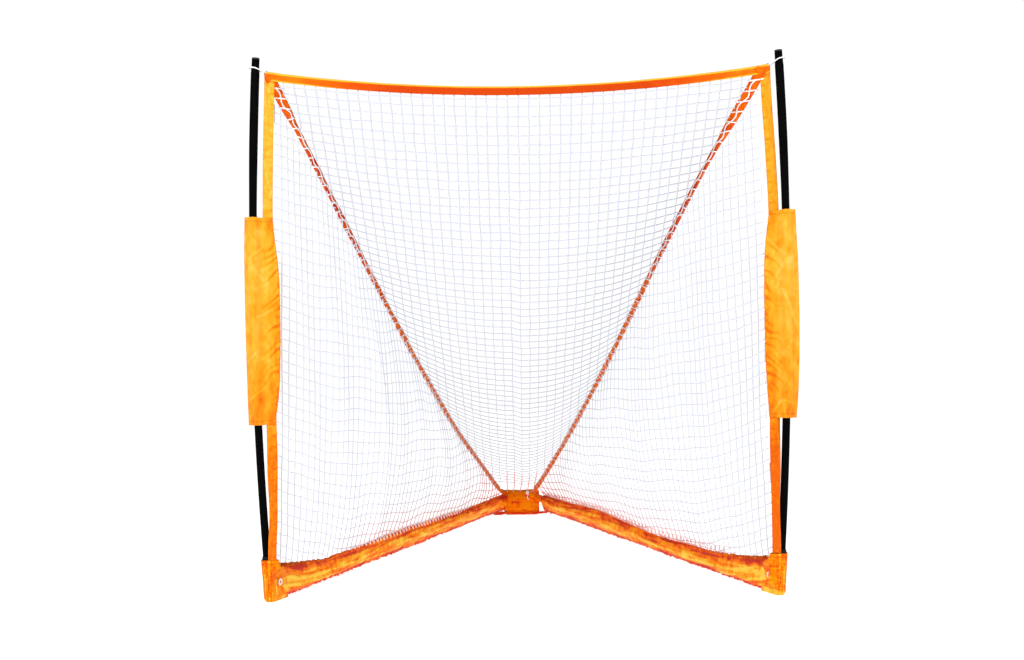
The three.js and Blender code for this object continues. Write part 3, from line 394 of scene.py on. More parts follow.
# The side bands and the top band are one orange webbing. The side bands' yellower, lighter stops are painted
# light, and the top band's redder, darker stops painted shade, from how the light falls on them.
BAND_CLOTH = cloth_material(
    "yellow_webbing", [(0.05, (0.8, 0.12, 0.003)), (0.3, (0.98, 0.22, 0.004)), (0.5, (1.0, 0.33, 0.012)),
                       (0.72, (1.0, 0.43, 0.03)), (0.95, (1.0, 0.58, 0.1))],
    along=60.0, around=14.0, crumple=18.0, contrast=1.0, pitch=2.2)
CROSSBAR_CLOTH = cloth_material(
    "crossbar_webbing", [(0.1, (0.62, 0.05, 0.004)), (0.36, (0.82, 0.1, 0.004)), (0.55, (0.93, 0.15, 0.004)),
                         (0.78, (1.0, 0.3, 0.008)), (0.95, (1.0, 0.52, 0.05))],
    along=160.0, around=30.0, crumple=60.0, contrast=0.6, pitch=2.2)
STRAP_CLOTH = cloth_material(
    "red_orange_webbing", [(0.1, (0.42, 0.02, 0.012)), (0.45, (0.68, 0.045, 0.008)), 
                           (0.62, (0.85, 0.1, 0.005)), (0.9, (0.98, 0.17, 0.004))],
    along=60.0, around=20.0, contrast=1.8, pitch=2.0)
POLE_FINISH = hard_material("black_pole_gloss", (0.0008, 0.0008, 0.0009), 0.6, speck=0.001, gloss=0.3,
                            ior=1.12)
PLASTIC = hard_material("black_moulded_plastic", (0.012, 0.012, 0.012), 0.55, speck=0.012)
ZINC = hard_material("zinc_plated_steel", (0.62, 0.63, 0.64), 0.32, metal=1.0, speck=0.1)
TUBE_COAT = hard_material("black_powder_coat", (0.004, 0.004, 0.0045), 0.55, speck=0.006, bump=0.00015,
                          scale=300, ior=1.25)
DARK_ZINC = hard_material("dark_eyelet_steel", (0.16, 0.13, 0.11), 0.45, metal=1.0, speck=0.05)
NYLON = hard_material("natural_nylon", (0.8, 0.8, 0.76), 0.45, speck=0.05)
NET_CORD = cord_material("white_net_cord", (0.78, 0.8, 0.87), (0.69, 0.71, 0.79))
FRONT_CORD = cord_material("white_net_cord_front", (0.7, 0.72, 0.79), (0.6, 0.62, 0.7))
# A copy of the net cord with the painted reflection of the orange cloth in its colour.
PAINTED_REFLECTION_CORD = cord_material("net_cord_painted_orange_reflection", (0.85, 0.5, 0.46), (0.72, 0.3, 0.26))
WHITE_CORD = cord_material("white_braided_cord", (1.0, 1.0, 1.0), (0.9, 0.9, 0.92))

CAD_FINISH = {"pole": POLE_FINISH, "black_plastic": PLASTIC, "steel": ZINC, "arm_tube": TUBE_COAT,
              "nylon": NYLON, "orange_fabric": SLEEVE_CLOTH, "yellow_webbing": BAND_CLOTH,
              "yellow_fabric": POCKET_CLOTH,
              "orange_webbing": STRAP_CLOTH, "crossbar_webbing": CROSSBAR_CLOTH, "net": NET_CORD,
              "white_cord": WHITE_CORD}
for entry in frame["record"]["subparts"]:
    node = frame["nodes"][entry["node"]]
    node.data.materials.clear()
    eyelet = entry["node"].endswith("_corner_eyelet")
    node.data.materials.append(DARK_ZINC if eyelet else CAD_FINISH[entry["material_slot"]])

# Mesh makers


def make_object(name, points, faces, material, uv, shade=0.0, flat=False):
    mesh = bpy.data.meshes.new(name)
    mesh.from_pydata(placed(points).tolist(), [], [tuple(f) for f in faces])
    mesh.materials.append(material)
    at = np.zeros(len(mesh.loops), int)
    mesh.loops.foreach_get("vertex_index", at)
    # The second map, shade, holds each point's painted light and shade, and on a cord the painted reflection
    # of the orange cloth.
    painted_light = np.zeros((len(points), 2))
    painted_light[:, 0] = np.ravel(shade)
    for layer, values in (("cloth", np.asarray(uv, float)), ("shade", painted_light)):
        mesh.uv_layers.new(name=layer).data.foreach_set("uv", values[at].ravel())
    mesh.polygons.foreach_set("use_smooth", [not flat] * len(mesh.polygons))
    mesh.update()
    piece = bpy.data.objects.new(name, mesh)
    bpy.context.scene.collection.objects.link(piece)
    return piece


def frames_along(path):
    """Two directions square to the path at each of its points."""
    ahead = np.gradient(path, axis=0)
    ahead /= np.linalg.norm(ahead, axis=1)[:, None] + 1e-12
    hint = np.array((0, 0, 1.0)) if abs(ahead[0][2]) < 0.9 else np.array((1.0, 0, 0))
    side = np.cross(ahead, hint)
    short = np.linalg.norm(side, axis=1) < 1e-3
    side[short] = np.cross(ahead[short], (0, 1.0, 0))
    side /= np.linalg.norm(side, axis=1)[:, None]
    return side, np.cross(ahead, side)


TAPER_END_Y = 2200


def tubes(name, paths, radius, material, sides=4, taper=0.0, painted_reflection=None):
    """Closed tubes along several paths, in one mesh. radius is one number, or one for each point of a path.

    taper thins them towards the rear of the goal. The function given last, of a point and how upright its
    side is, gives what the second map says: the painted reflection of the orange cloth on the cord.
    """
    points, faces, shade = [], [], []
    angles = 2 * np.pi * np.arange(sides) / sides
    for path in paths:
        path = np.asarray(path, float)
        side, up = frames_along(path)
        start = len(points)
        for p, s, u, r in zip(path, side, up, np.broadcast_to(radius, len(path))):
            thick = r * (1 - taper * min(max(p[1] / TAPER_END_Y, 0), 1))
            points += [p + thick * (math.cos(a) * s + math.sin(a) * u) for a in angles]
            shade += [painted_reflection(p, abs(s[0])) if painted_reflection else 0.0] * sides
        last = len(points) - sides
        for a in range(start, last, sides):
            b = a + sides
            faces += [(a + k, a + (k + 1) % sides, b + (k + 1) % sides, b + k) for k in range(sides)]
        faces.append(tuple(start + k for k in reversed(range(sides))))
        faces.append(tuple(last + k for k in range(sides)))
    return make_object(name, points, faces, material, np.zeros((len(points), 2)), shade, flat=sides <= 4)


def shell(name, grid, thick, material, uv=None, shade=0.0, facing=False, closed=False):
    """A sheet of some thickness from a grid of points (rows, columns, 3).

    facing turns its first face to the mouth. closed joins the last column to the first.
    """
    grid = np.asarray(grid, float)
    rows, columns = grid.shape[:2]
    wrapped = np.concatenate([grid[:, -1:], grid, grid[:, :1]], 1) if closed else grid
    down = np.gradient(grid, axis=0)
    over = np.gradient(wrapped, axis=1)[:, 1:-1] if closed else np.gradient(grid, axis=1)
    face = np.cross(over, down)
    face /= np.linalg.norm(face, axis=2)[..., None] + 1e-9
    if facing and face[..., 1].sum() > 0:
        face = -face
    points = np.concatenate([(grid + face * thick / 2 * way).reshape(-1, 3) for way in (1, -1)])
    count = rows * columns
    wide = columns if closed else columns - 1
    faces = []
    for i in range(rows - 1):
        for k in range(wide):
            a, b = i * columns + k, i * columns + (k + 1) % columns
            c, d = b + columns, a + columns
            faces += [(a, b, c, d), (count + d, count + c, count + b, count + a)]
    edges = []
    for i, sign in ((0, 1), (rows - 1, -1)):
        edges += [(i * columns + k, i * columns + (k + 1) % columns, sign) for k in range(wide)]
    if not closed:
        for k, sign in ((0, -1), (columns - 1, 1)):
            edges += [(i * columns + k, (i + 1) * columns + k, sign) for i in range(rows - 1)]
    for a, b, sign in edges:
        faces.append(((a, count + a, count + b, b), (b, count + b, count + a, a))[sign < 0])
    if uv is None:
        ways = lengths_along(grid[:, columns // 2]), lengths_along(grid[rows // 2])
        uv = np.stack(np.meshgrid(*ways, indexing="ij"), -1).reshape(-1, 2)
    shade = np.tile(np.broadcast_to(np.ravel(shade), count), 2)
    return make_object(name, points, faces, material, np.concatenate([uv, uv]), shade)


def loop_map(places, count, step):
    """The map of a closed sheet, from the place of each loop and the step between points round it."""
    return np.stack(np.meshgrid(places, np.arange(count) * step, indexing="ij"), -1).reshape(-1, 2)


def girth(grid):
    """The mean length round a closed sheet, in metres."""
    return round(float(np.mean([lengths_along(np.vstack([loop, loop[:1]]))[-1] for loop in grid])) / 1000, 3)


def hub_to_arm(side, start, stop):
    return "hub", side + "_arm", placed(start)[0], placed(stop)[0]


def finished(piece, body, slot, *nodes, blend=None):
    if nodes:
        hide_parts(*nodes)
    if blend:
        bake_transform(piece)
    else:
        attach(piece, body)


# Where the middle of a side band runs

BAND_LOW_Z = 174.3
BAND_HIGH_Z = 1933.0
BAND_FOOT_X = 930
BAND_BOW = 13
BAND_SHIFTS = {-1: ((180, -5), (310, -16), (470, -16), (620, -9), (1300, 0)),
               1: ((180, -4), (310, -8), (450, -9), (620, -2), (1000, 0), (1250, 5), (1430, 10),
                   (1650, 5), (1850, 0))}


def band_x(z, sign):
    """A shallow bow, shifted as the cloth pulls it."""
    share = (z - BAND_LOW_Z) / (BAND_HIGH_Z - BAND_LOW_Z)
    bow = 4 * BAND_BOW * share * (1 - share)
    return BAND_FOOT_X - share + bow + averaged(BAND_SHIFTS[sign], z + np.linspace(-40, 40, 5))[0]


def band_y(z):
    """A band runs behind the pole, but crosses in front of it below the pocket."""
    return BAND_Y - 36 * smooth((640 - z) / 210)


# Poles: one smooth black bow each, a little thicker above the pocket and up to the cap

POLE_THICKENING = 1.8
POLE_THICK_FROM_Z = 1430
POLE_CAP_Z = 1984


def make_poles():
    for side, sign in SIDES:
        z = np.linspace(POLE_FOOT_Z, POLE_TIP_Z, 80)
        radii = POLE_RADIUS + POLE_THICKENING * smooth((z - POLE_THICK_FROM_Z) / 300) * (z < POLE_CAP_Z)
        pole = tubes(side + "_bow_pole", [mirror(pole_point(z), sign)], radii, POLE_FINISH, sides=32)
        finished(pole, side + "_pole", "pole", side + "_pole_lower", side + "_pole_upper")


make_poles()

# Corner cords: a loop from each top eyelet round the pole, wide enough for the bowed pole to lift through

LOOP_Z = 1966
LOOP_POLE_Z = 1985
LOOP_REACH = 19.4
LOOP_RADIUS = 2.3
LIFT_SWAY = 7.0


def make_corner_cords():
    for side, sign in SIDES:
        rise = 17 if sign < 0 else 25
        pole = pole_point(LOOP_POLE_Z)
        path = [(938.5, 11.5, LOOP_Z), (947, 6, LOOP_Z + 1 + 0.12 * rise)]
        for angle in np.radians(np.arange(214, 500, 18)):
            lift = rise * (0.5 + 0.5 * math.cos(angle)) ** 0.6
            x = pole[0] + LOOP_REACH * math.cos(angle) + (LIFT_SWAY if math.cos(angle) > 0 else 0)
            path.append((x, LOOP_REACH * math.sin(angle), LOOP_Z + 0.2 * rise + 0.8 * lift))
        path += [(950, 17, LOOP_Z), (941, 18.5, LOOP_Z - 1)]
        cord = tubes(side + "_corner_loop", [mirror(path, sign)], LOOP_RADIUS, WHITE_CORD, sides=8)
        finished(cord, side + "_arm", "white_cord", side + "_corner_cord")


make_corner_cords()

# Nets: cords along the columns and rows of a square mesh

RIDGE_GAP = 2
STRAP_GAP = 16
CORNER_GAP = 22
GATHER_RADIUS = 1.5
BAND_BOTTOM = 16.5
CENTRE_START = 21.0
CENTRE_END = 2160.0
CENTRE_COLUMNS = range(-23, 24)
COLUMN_SHIFT = 3
ROWS_END = 1985.0
COLUMNS_END = 1850.0
WRAP_EDGE_Z = 134.0
WRAP_EDGE_Y = 2172.0
WRAP_EDGE_HALF = 92
APEX_COLUMN_FEET = ((-2, -84), (-1, -46), (0, -6), (1, 32), (2, 60))


def edge_between(good, bad, inside):
    good, bad = np.array(good, float), np.array(bad, float)
    for _ in range(7):
        middle = (good + bad) / 2
        if inside(middle):
            good = middle
        else:
            bad = middle
    return good


def runs_inside(points, inside):
    """Splits a path where it leaves the net, and brings each end out to the edge."""
    runs, run = [], []
    flags = [inside(p) for p in points]
    for i, (p, ok) in enumerate(zip(points, flags)):
        if ok:
            if not run and i and not flags[i - 1]:
                run.append(edge_between(p, points[i - 1], inside))
            run.append(p)
        elif run:
            run.append(edge_between(points[i - 1], p, inside))
            runs.append(run)
            run = []
    return [r for r in runs + [run] if len(r) > 1]


def side_folds(share, z, level, sign):
    """Depth of a side net's folds: a crease and waves on the left, waves and a hollow on the right."""
    middle = level * (1 - level)
    if sign < 0:
        crease = 26 * hump(share - 0.33 - 0.02 * math.sin(z / 240), 0.022) * smooth((1250 - z) / 500)
        return crease * level ** 0.4 + 18 * math.sin(share * 61 + z / 260) * middle
    return (28.8 * math.sin(share * 34 + z / 330) - 56 * hump(share - 0.2, 0.05)) * middle


def side_surface(share, z, sign):
    """A point of a side net: the upright panel, bowed inwards, with the folds of the cloth."""
    low, high = crest_height(share, sign), strap_height(share)
    level = np.clip((z - low) / max(high - low, 60), 0, 1)
    bow = NET_BOW * 4 * share * (1 - share) * math.sin(math.pi * level) + drawn_in(share, sign) * level ** 1.4
    x, y = panel_point(share)
    y += (band_y(z) - BAND_Y) * smooth(1 - share / 0.07)
    return np.array((x, y, z)) + INWARD * (bow + side_folds(share, z, level, sign))


def side_droop(share, z, sign):
    """How far a row of meshes hangs below its height at the mouth."""
    reach = 205 * float(np.clip((1780 - z) / 1350, 0.07, 1))
    wave = (5 * math.sin(share * 26 + z / 190) + 3 * math.sin(share * 47 - z / 120)) * smooth(share / 0.2)
    return reach * (1 - math.exp(-share / 0.2)) + wave * (1.5 if sign < 0 else 1)


def make_side_net(side, sign):
    columns, rows = range(int(PANEL / MESH) + 2), range(60)
    seed = 1.7 if sign < 0 else 4.2

    def inside(p):
        share, z = p
        top = strap_height(share) - STRAP_GAP - CORNER_GAP * (1 - smooth((share - 0.04) / 0.12))
        return 0.002 <= share <= 0.998 and crest_height(share, sign) + RIDGE_GAP <= z <= top

    def knot(i, j):
        share, z = (i * MESH + 4) / PANEL, 100 + j * MESH
        z -= side_droop(share, z, sign)
        above = max(z - crest_height(share, sign), 0)
        share -= 0.034 * math.exp(-above / 130) * math.sin(math.pi * min(share, 1)) ** 0.7
        share += 3.2 * ripple(i * 0.9, j * 0.9, seed) / PANEL
        return np.array((share, z + 3.6 * ripple(i * 0.8, j * 0.7, seed + 9)))

    # Painted reflection of the orange cloth on the cords: strongest just above the sleeve, and towards the
    # apex.
    def painted_reflection(p, upright):
        share = share_at(p[1])
        above = max(p[2] - crest_height(min(max(share, 0), 1), sign), 0)
        return 0.75 * math.exp(-above / 60) * smooth((share - 0.1) / 0.3) + 0.5 * smooth((share - 0.7) / 0.25)

    grid = [[knot(i, j) for j in rows] for i in columns]
    runs = [run for line in grid + [list(row) for row in zip(*grid)] for run in runs_inside(line, inside)]
    paths = [mirror([side_surface(s, z, sign) for s, z in run], sign) for run in runs]
    net = tubes(side + "_side_netting", paths, NET_RADIUS, NET_CORD, taper=0.2, painted_reflection=painted_reflection)
    finished(net, side + "_arm", "net", side + "_side_net")
    # On the right the gathered meshes take the cord with the painted reflection of the orange cloth.
    cord = WHITE_CORD if sign < 0 else PAINTED_REFLECTION_CORD
    gathers = tubes(side + "_gathered_netting", gathered_meshes(sign, seed), GATHER_RADIUS, cord)
    finished(gathers, side + "_arm", "net")


def gathered_meshes(sign, seed):
    """Meshes bunched along the sleeve: lapping over its ridge on the left, standing above it on the right."""
    start, stop, high, low = (0.24, 0.8, 5, -15) if sign < 0 else (0.14, 0.94, 26, 6)
    count = 2 * int((stop - start) * PANEL / 31)
    path = []
    for i in range(count + 1):
        share = start + (stop - start) * i / count + 0.003 * ripple(i * 0.9, 2.5, seed)
        crest = crest_height(share, sign)
        sway = 4 * ripple(i * 0.37, 3.5, seed)
        lap = low * smooth((share - start) / 0.12) * smooth((stop - share) / 0.12) + sway
        if i % 2:
            path.append(side_surface(share, crest + high + sway, sign))
        else:
            path.append(side_surface(share, crest + lap, sign) + INWARD * (8 + max(-0.4 * lap, 0)))
        path.append(side_surface(share + 0.2 * MESH / PANEL, crest + 3, sign) + INWARD * 7)
    paths = [mirror(path[:-1], sign)]
    for rise in (high, low if sign > 0 else 0.4 * high):
        row = []
        for s in np.linspace(start - 0.03, stop + 0.03, 160):
            row.append(side_surface(s, crest_height(s, sign) + rise + 5 * ripple(s * 55, rise, seed), sign))
        paths.append(mirror(row, sign))
    return paths


def edge_share(share, sign):
    """Where along the strap a point of the centre net's edge lies: a strap that is drawn in leans forward."""
    return share - INWARD[1] * drawn_in(share, sign) / DEEP


def sign_at(x):
    return -1 if x < 0 else 1


def half_width(share, sign):
    at = edge_share(share, sign)
    edge = NET_FRONT[0] + (REAR[0] - NET_FRONT[0]) * at + INWARD[0] * drawn_in(at, sign) - 5
    return min(edge, WRAP_EDGE_HALF) if share > 1 else edge


def centre_height(x, share):
    sign = sign_at(x)
    inner = min(max(share, 0), 1)
    edge = strap_height(min(edge_share(inner, sign), 1)) - 4
    dip = NET_DIP_TOP * (1 - inner) + NET_DIP_MIDDLE * 4 * inner * (1 - inner) * (1 - inner ** 6)
    across = min(abs(x) / half_width(inner, sign), 1)
    return edge - dip * (1 - across ** 2) + 26 * smooth((share - 0.94) / 0.07)


def centre_knots():
    """Columns keep their place across the goal, and rows are a mesh apart along each column."""
    tracks = []
    for x in (c * MESH + COLUMN_SHIFT for c in CENTRE_COLUMNS):
        track = [(x, CENTRE_START - 1, crossbar_height(x) - BAND_BOTTOM + 3)]
        track += [(x, y, centre_height(x, share_at(y))) for y in np.linspace(CENTRE_START, CENTRE_END, 420)]
        tracks.append((np.array(track), lengths_along(track)))

    def knot(k, j):
        track, length = tracks[k]
        at = 12 + j * MESH + 4 * ripple(k * 0.8, j * 0.8, 2.5) if j else 17 + 5 * ripple(k * 0.5, 4.5, 2.5)
        point = np.array([np.interp(at, length, track[:, axis]) for axis in range(3)])
        point[0] += 4 * ripple(k * 0.7, j * 0.9, 7.5)
        return np.append(point, at <= length[-1] + 1)

    rows = int(max(length[-1] for track, length in tracks) / MESH) + 1
    grid = [[knot(k, j) for j in range(rows)] for k in range(len(tracks))]
    return [np.append(track[0], 1.0) for track, length in tracks], grid


def make_centre_net():
    heads, grid = centre_knots()

    def inside(p):
        share = share_at(p[1])
        gap = 6 + 13 * (1 - smooth((share - 0.06) / 0.14))
        return p[3] > 0.5 and abs(p[0]) <= half_width(share, sign_at(p[0])) - gap and p[1] < ROWS_END

    def inside_column(p):
        return inside(p) and (p[1] < COLUMNS_END or abs(p[0]) > 100)

    # Painted reflection of the orange cloth on the columns, growing towards the apex.
    def painted_reflection(p, upright):
        return 0.75 * smooth((share_at(p[1]) - 0.45) / 0.4) if upright > 0.7 else 0.0

    runs = [run for head, line in zip(heads, grid) for run in runs_inside([head] + line, inside_column)]
    runs += [run for line in zip(*grid) for run in runs_inside(line, inside)]
    runs = [[p[:3] for p in run] for run in runs]
    for side, sign in SIDES:
        half = [part for run in runs for part in runs_inside(run, lambda p: p[0] * sign >= 0)]
        net = tubes(side + "_centre_netting", half, 1.1 * NET_RADIUS, FRONT_CORD, taper=0.44, painted_reflection=painted_reflection)
        finished(net, None, "net", "centre_net",
                 blend=hub_to_arm(side, (0, 1100, 900), (sign * 800, 1100, 900)))


def make_apex_columns():
    """The last columns of the centre net, drawn in to the top of the wrap."""
    along = np.linspace(0, 1, 24)
    start_y = COLUMNS_END - 12
    for side, sign in SIDES:
        paths = []
        for c, foot in APEX_COLUMN_FEET:
            if foot * sign > 0:
                start = c * MESH + COLUMN_SHIFT
                xs = start + (foot - start) * along + 4 * np.sin(along * 6 + c) * along
                ys = start_y + (WRAP_EDGE_Y - start_y) * along
                heights = np.array([centre_height(x, share_at(y)) for x, y in zip(xs, ys)])
                heights -= along ** 3 * (heights[-1] - WRAP_EDGE_Z)
                paths.append(np.stack([xs, ys, heights], -1))
        # These columns take the cord with the painted reflection of the orange cloth.
        columns = tubes(side + "_apex_net_columns", paths, NET_RADIUS, PAINTED_REFLECTION_CORD)
        finished(columns, None, "net", blend=hub_to_arm(side, (0, 2010, 200), (sign * 170, 2010, 200)))


for side, sign in SIDES:
    make_side_net(side, sign)
make_apex_columns()
make_centre_net()

# Base sleeves: satin tubes of cloth round the arms, drawn up to a ridge by the netting

SLEEVE_START = {-1: 62.0, 1: 138.0}
SLEEVE_STOP = ARM_LENGTH - 52
SLEEVE_POINTS = 72
SLEEVE_RADIUS = 19.6
NECK_RADIUS = 19.4


def sleeve_section(distance, sign):
    """A loop round the arm: bottom hem, front and back faces and the ridge. With it the arm's own point."""
    centre = arm_point(distance)
    share = max(share_at(centre[1]), 0)
    ridge = np.append(panel_point(share), crest_height(share, sign))
    lean = float((ridge - centre) @ INWARD)
    rise = float(ridge[2] - centre[2])
    foot = 33 * (1 - distance / ARM_LENGTH)
    up = (math.hypot(lean, rise), math.atan2(rise, lean))
    down = (max(centre[2] - foot, 1), -math.pi / 2)

    def reach(angle, spot):
        off = abs(math.atan2(math.sin(angle - spot[1]), math.cos(angle - spot[1])))
        spread = math.acos(SLEEVE_RADIUS / spot[0]) if spot[0] > SLEEVE_RADIUS else 0
        return SLEEVE_RADIUS / math.cos(spread - off) if off < spread else SLEEVE_RADIUS

    angles = up[1] - 2 * math.pi * np.arange(SLEEVE_POINTS) / SLEEVE_POINTS
    reaches = np.array([max(reach(a, up), reach(a, down)) for a in angles])
    loop = centre + np.outer(reaches * np.cos(angles), INWARD) + np.outer(reaches * np.sin(angles), (0, 0, 1))
    return loop, centre


def sleeve_wrinkle(along, around, sign):
    """Gathers across the sleeve, long creases along it, and finer crumples."""
    seed = 11.0 if sign < 0 else 23.0
    gathers = ripple(along / 20 + seed, around / 70, seed)
    creases = ripple(along / 150 + seed, around / 13, 2 * seed)
    return 2.2 * gathers + 4.6 * creases + 2.4 * ripple(along / 30, around / 20 + seed, seed)


def sleeve_loop(distance, sign):
    """One loop of a sleeve: its points, how far round each lies, and the painted light and shade of each."""
    loop, centre = sleeve_section(distance, sign)
    around = lengths_along(loop)
    bottom, top = loop[:, 2].min(), loop[:, 2].max()
    near_corner = smooth((distance - (ARM_LENGTH - 420)) / 300)
    ragged = ripple(distance / 13, sign * 5.0, 0.3) + 0.7 * ripple(distance / 5, sign * 5.0, 6.3)
    crest = ripple(distance / 13, sign * 9.0, 4.3) + 0.6 * ripple(distance / 5.5, sign * 9.0, 8.3)
    fringe = 5.5 + 4.5 * smooth((420 - distance) / 200)
    row, shade = [], []
    for point, place in zip(loop, around):
        out = point - centre
        out /= np.linalg.norm(out) + 1e-9
        lift = sleeve_wrinkle(distance, place, sign)
        low = smooth((22 - (point[2] - bottom)) / 22)
        ridge = smooth((16 - (top - point[2])) / 16)
        p = point + out * max(lift + 1.2, -0.7) * (1 - 0.5 * low)
        p[2] = max(p[2] + fringe * ragged * low + 3.6 * crest * ridge, GROUND_GAP)
        row.append(p)
        # Painted light and shade: wrinkle ridges lighter and hollows darker, painted shade in a crease below
        # the top and along the hem, a painted highlight across the middle that grows towards the corner, and
        # painted shade near the start at the apex.
        level = (point[2] - bottom) / max(top - bottom, 1)
        crease = smooth((level - 0.66) / 0.12) * (1 - 0.75 * smooth((level - 0.93) / 0.05))
        painted_light = 0.075 * lift - 0.42 * crease * (0.5 + 0.5 * near_corner) - 0.5 * low
        painted_light += (0.2 + 0.3 * near_corner) * hump(level - 0.42, 0.2)
        shade.append(painted_light - (0.3 if sign > 0 else 0.12) * smooth((220 - distance) / 110))
    return row, around, shade


def make_sleeves():
    for side, sign in SIDES:
        stops = np.arange(SLEEVE_START[sign], SLEEVE_STOP, 6.0)
        rows, around, shade = zip(*(sleeve_loop(distance, sign) for distance in stops))
        grid = mirror(rows, sign)
        uv = np.stack([np.repeat(stops, SLEEVE_POINTS), np.ravel(around)], -1)
        sleeve = shell(side + "_base_sleeve_cloth", grid, 1.2, SLEEVE_CLOTH, uv, closed=True, shade=shade)
        finished(sleeve, side + "_arm", "orange_fabric", side + "_base_sleeve")
        girth(grid)
        reach = np.linspace(30, SLEEVE_START[sign] + 10, 24)
        folds = [NECK_RADIUS + 0.9 * ripple(a / 7, sign, 3) for a in reach]
        path = mirror(arm_point(reach), sign)
        neck = tubes(side + "_arm_neck_cloth", [path], folds, SLEEVE_CLOTH, sides=32)
        finished(neck, side + "_arm", "orange_fabric")


make_sleeves()

# Corner boots: one skin from the pole's foot to the arm, a pouch round socket and band

BOOT_TOP = 154.0
BOOT_POINTS = 84
BAND_POUCH = (-33.0, -10.5)
BACKWARD = tuple(-ARM_AXIS[:2] / np.linalg.norm(ARM_AXIS[:2]))


def boot_reach(x, y, z, sign):
    """How far the skin lies from the socket's axis: round the socket, round the band's end, along the arm."""
    radius = 21.8 - 5.5 * smooth((13 - z) / 12)
    best = radius
    opening = smooth((z - (92 if sign < 0 else 14)) / 36)
    for step in range(1, 9):
        t = step / 8 * opening
        across, ahead = BAND_POUCH[0] * t, BAND_POUCH[1] * t
        size = radius + (12.5 - radius) * step / 8
        along = x * across + y * ahead
        inner = size ** 2 - across ** 2 - ahead ** 2 + along ** 2
        if inner > 0:
            best = max(best, along + math.sqrt(inner))
    toward = x * BACKWARD[0] + y * BACKWARD[1]
    if toward > 0:
        half = 19.5 - 8 * smooth((z - 100) / 50)
        aside = abs(BACKWARD[0] * y - BACKWARD[1] * x)
        tail = 84 * smooth((150 - z) / 26) + 2
        best = max(best, min(half / max(aside, 1e-3), tail / max(toward, 1e-3)))
    return best


def boot_loop(z, sign):
    """One level loop of a boot: its points and the painted light and shade of each."""
    seed = 3.0 if sign < 0 else 8.0
    upright, level = (1.7, 0.8) if sign < 0 else (0.8, 1.7)
    centre = socket_point(z)
    hem = hump(BOOT_TOP - z - 13, 1.8)
    row, shade = [], []
    for k in range(BOOT_POINTS):
        angle = 2 * math.pi * k / BOOT_POINTS
        out = np.array((math.cos(angle), math.sin(angle), 0))
        reach = boot_reach(out[0], out[1], z, sign)
        wrinkle = upright * ripple(k / 4.5 + seed, z / 60, seed) + level * ripple(k / 14, z / 7 + seed, seed)
        wrinkle *= 1 - 0.6 * smooth((z - 125) / 20)
        row.append(centre + out * (reach + max(wrinkle, -1.0)))
        # Painted light and shade: wrinkles lighter on their ridges, a painted highlight near the foot,
        # painted shade at the hem line and towards the tail's end.
        painted_light = 0.17 * wrinkle + (0.34 if sign > 0 else 0.12) * smooth((30 - z) / 20) - 0.22 * hem
        shade.append(painted_light - 0.12 * smooth((reach - 66) / 12) + 0.02)
    return row, shade


def make_boots():
    heights = np.concatenate([[1.0, 3, 6], np.linspace(10, BOOT_TOP, 64)])
    uv = loop_map(heights, BOOT_POINTS, 2.4)
    for side, sign in SIDES:
        rows, shade = zip(*(boot_loop(z, sign) for z in heights))
        grid = mirror(rows, sign)
        boot = shell(side + "_corner_boot_cloth", grid, 1.3, SLEEVE_CLOTH, uv, closed=True, shade=shade)
        finished(boot, side + "_arm", "orange_fabric", side + "_corner_boot")
        girth(grid)


make_boots()

# Bands round the mouth


def side_band_row(h, seed, sign):
    """One row of a side band, tucked at its inner edge where a cord of the net is tied."""
    middle = band_x(h, sign) + ripple(h / 300, seed, 7)
    half = BAND_WIDTH / 2 + 0.7 * ripple(h / 120, seed, 0) - 3.5 * smooth((480 - h) / 140)
    tuck = hump((h + 12) % MESH - MESH / 2, 3.2)
    # Painted light and shade: lighter up the band and darker low down, darker on the right band, mottled,
    # lighter at the outer edge and darker at the inner edge, with painted shade in the tucks.
    light = 0.24 * smooth((h - 500) / 900) - 0.3 * smooth((680 - h) / 200) - (0.16 if sign > 0 else 0)
    row, shade = [], []
    for t in np.linspace(-1, 1, 13):
        inner = smooth((0.4 - t) / 1.2)
        pucker = 1.3 * ripple(h / 16, t * 1.3 + seed, 1) * (0.4 + abs(t)) + 1.5 * tuck * inner
        roll = 1.2 * (1 - t * t)
        row.append((middle + t * (half - 0.8 * tuck * (t < 0)), band_y(h) - roll + pucker, h))
        painted_light = light + 0.14 * ripple(h / 22, t * 2 + seed, 3) + 0.12 * ripple(h / 9, t + seed, 5)
        painted_light += 0.12 * smooth((t - 0.7) / 0.3) - 0.1 * smooth((-0.75 - t) / 0.25)
        shade.append(painted_light - 0.3 * tuck * inner)
    return row, shade


def make_side_bands():
    for side, sign in SIDES:
        seed, low = (5.0, 148) if sign < 0 else (17.0, 156)
        rows, shade = zip(*(side_band_row(h, seed, sign) for h in np.linspace(low, 1944, 420)))
        band = shell(side + "_mouth_band", mirror(rows, sign), 2.0, BAND_CLOTH, shade=shade, facing=True)
        finished(band, side + "_arm", "yellow_webbing", side + "_side_band")


make_side_bands()


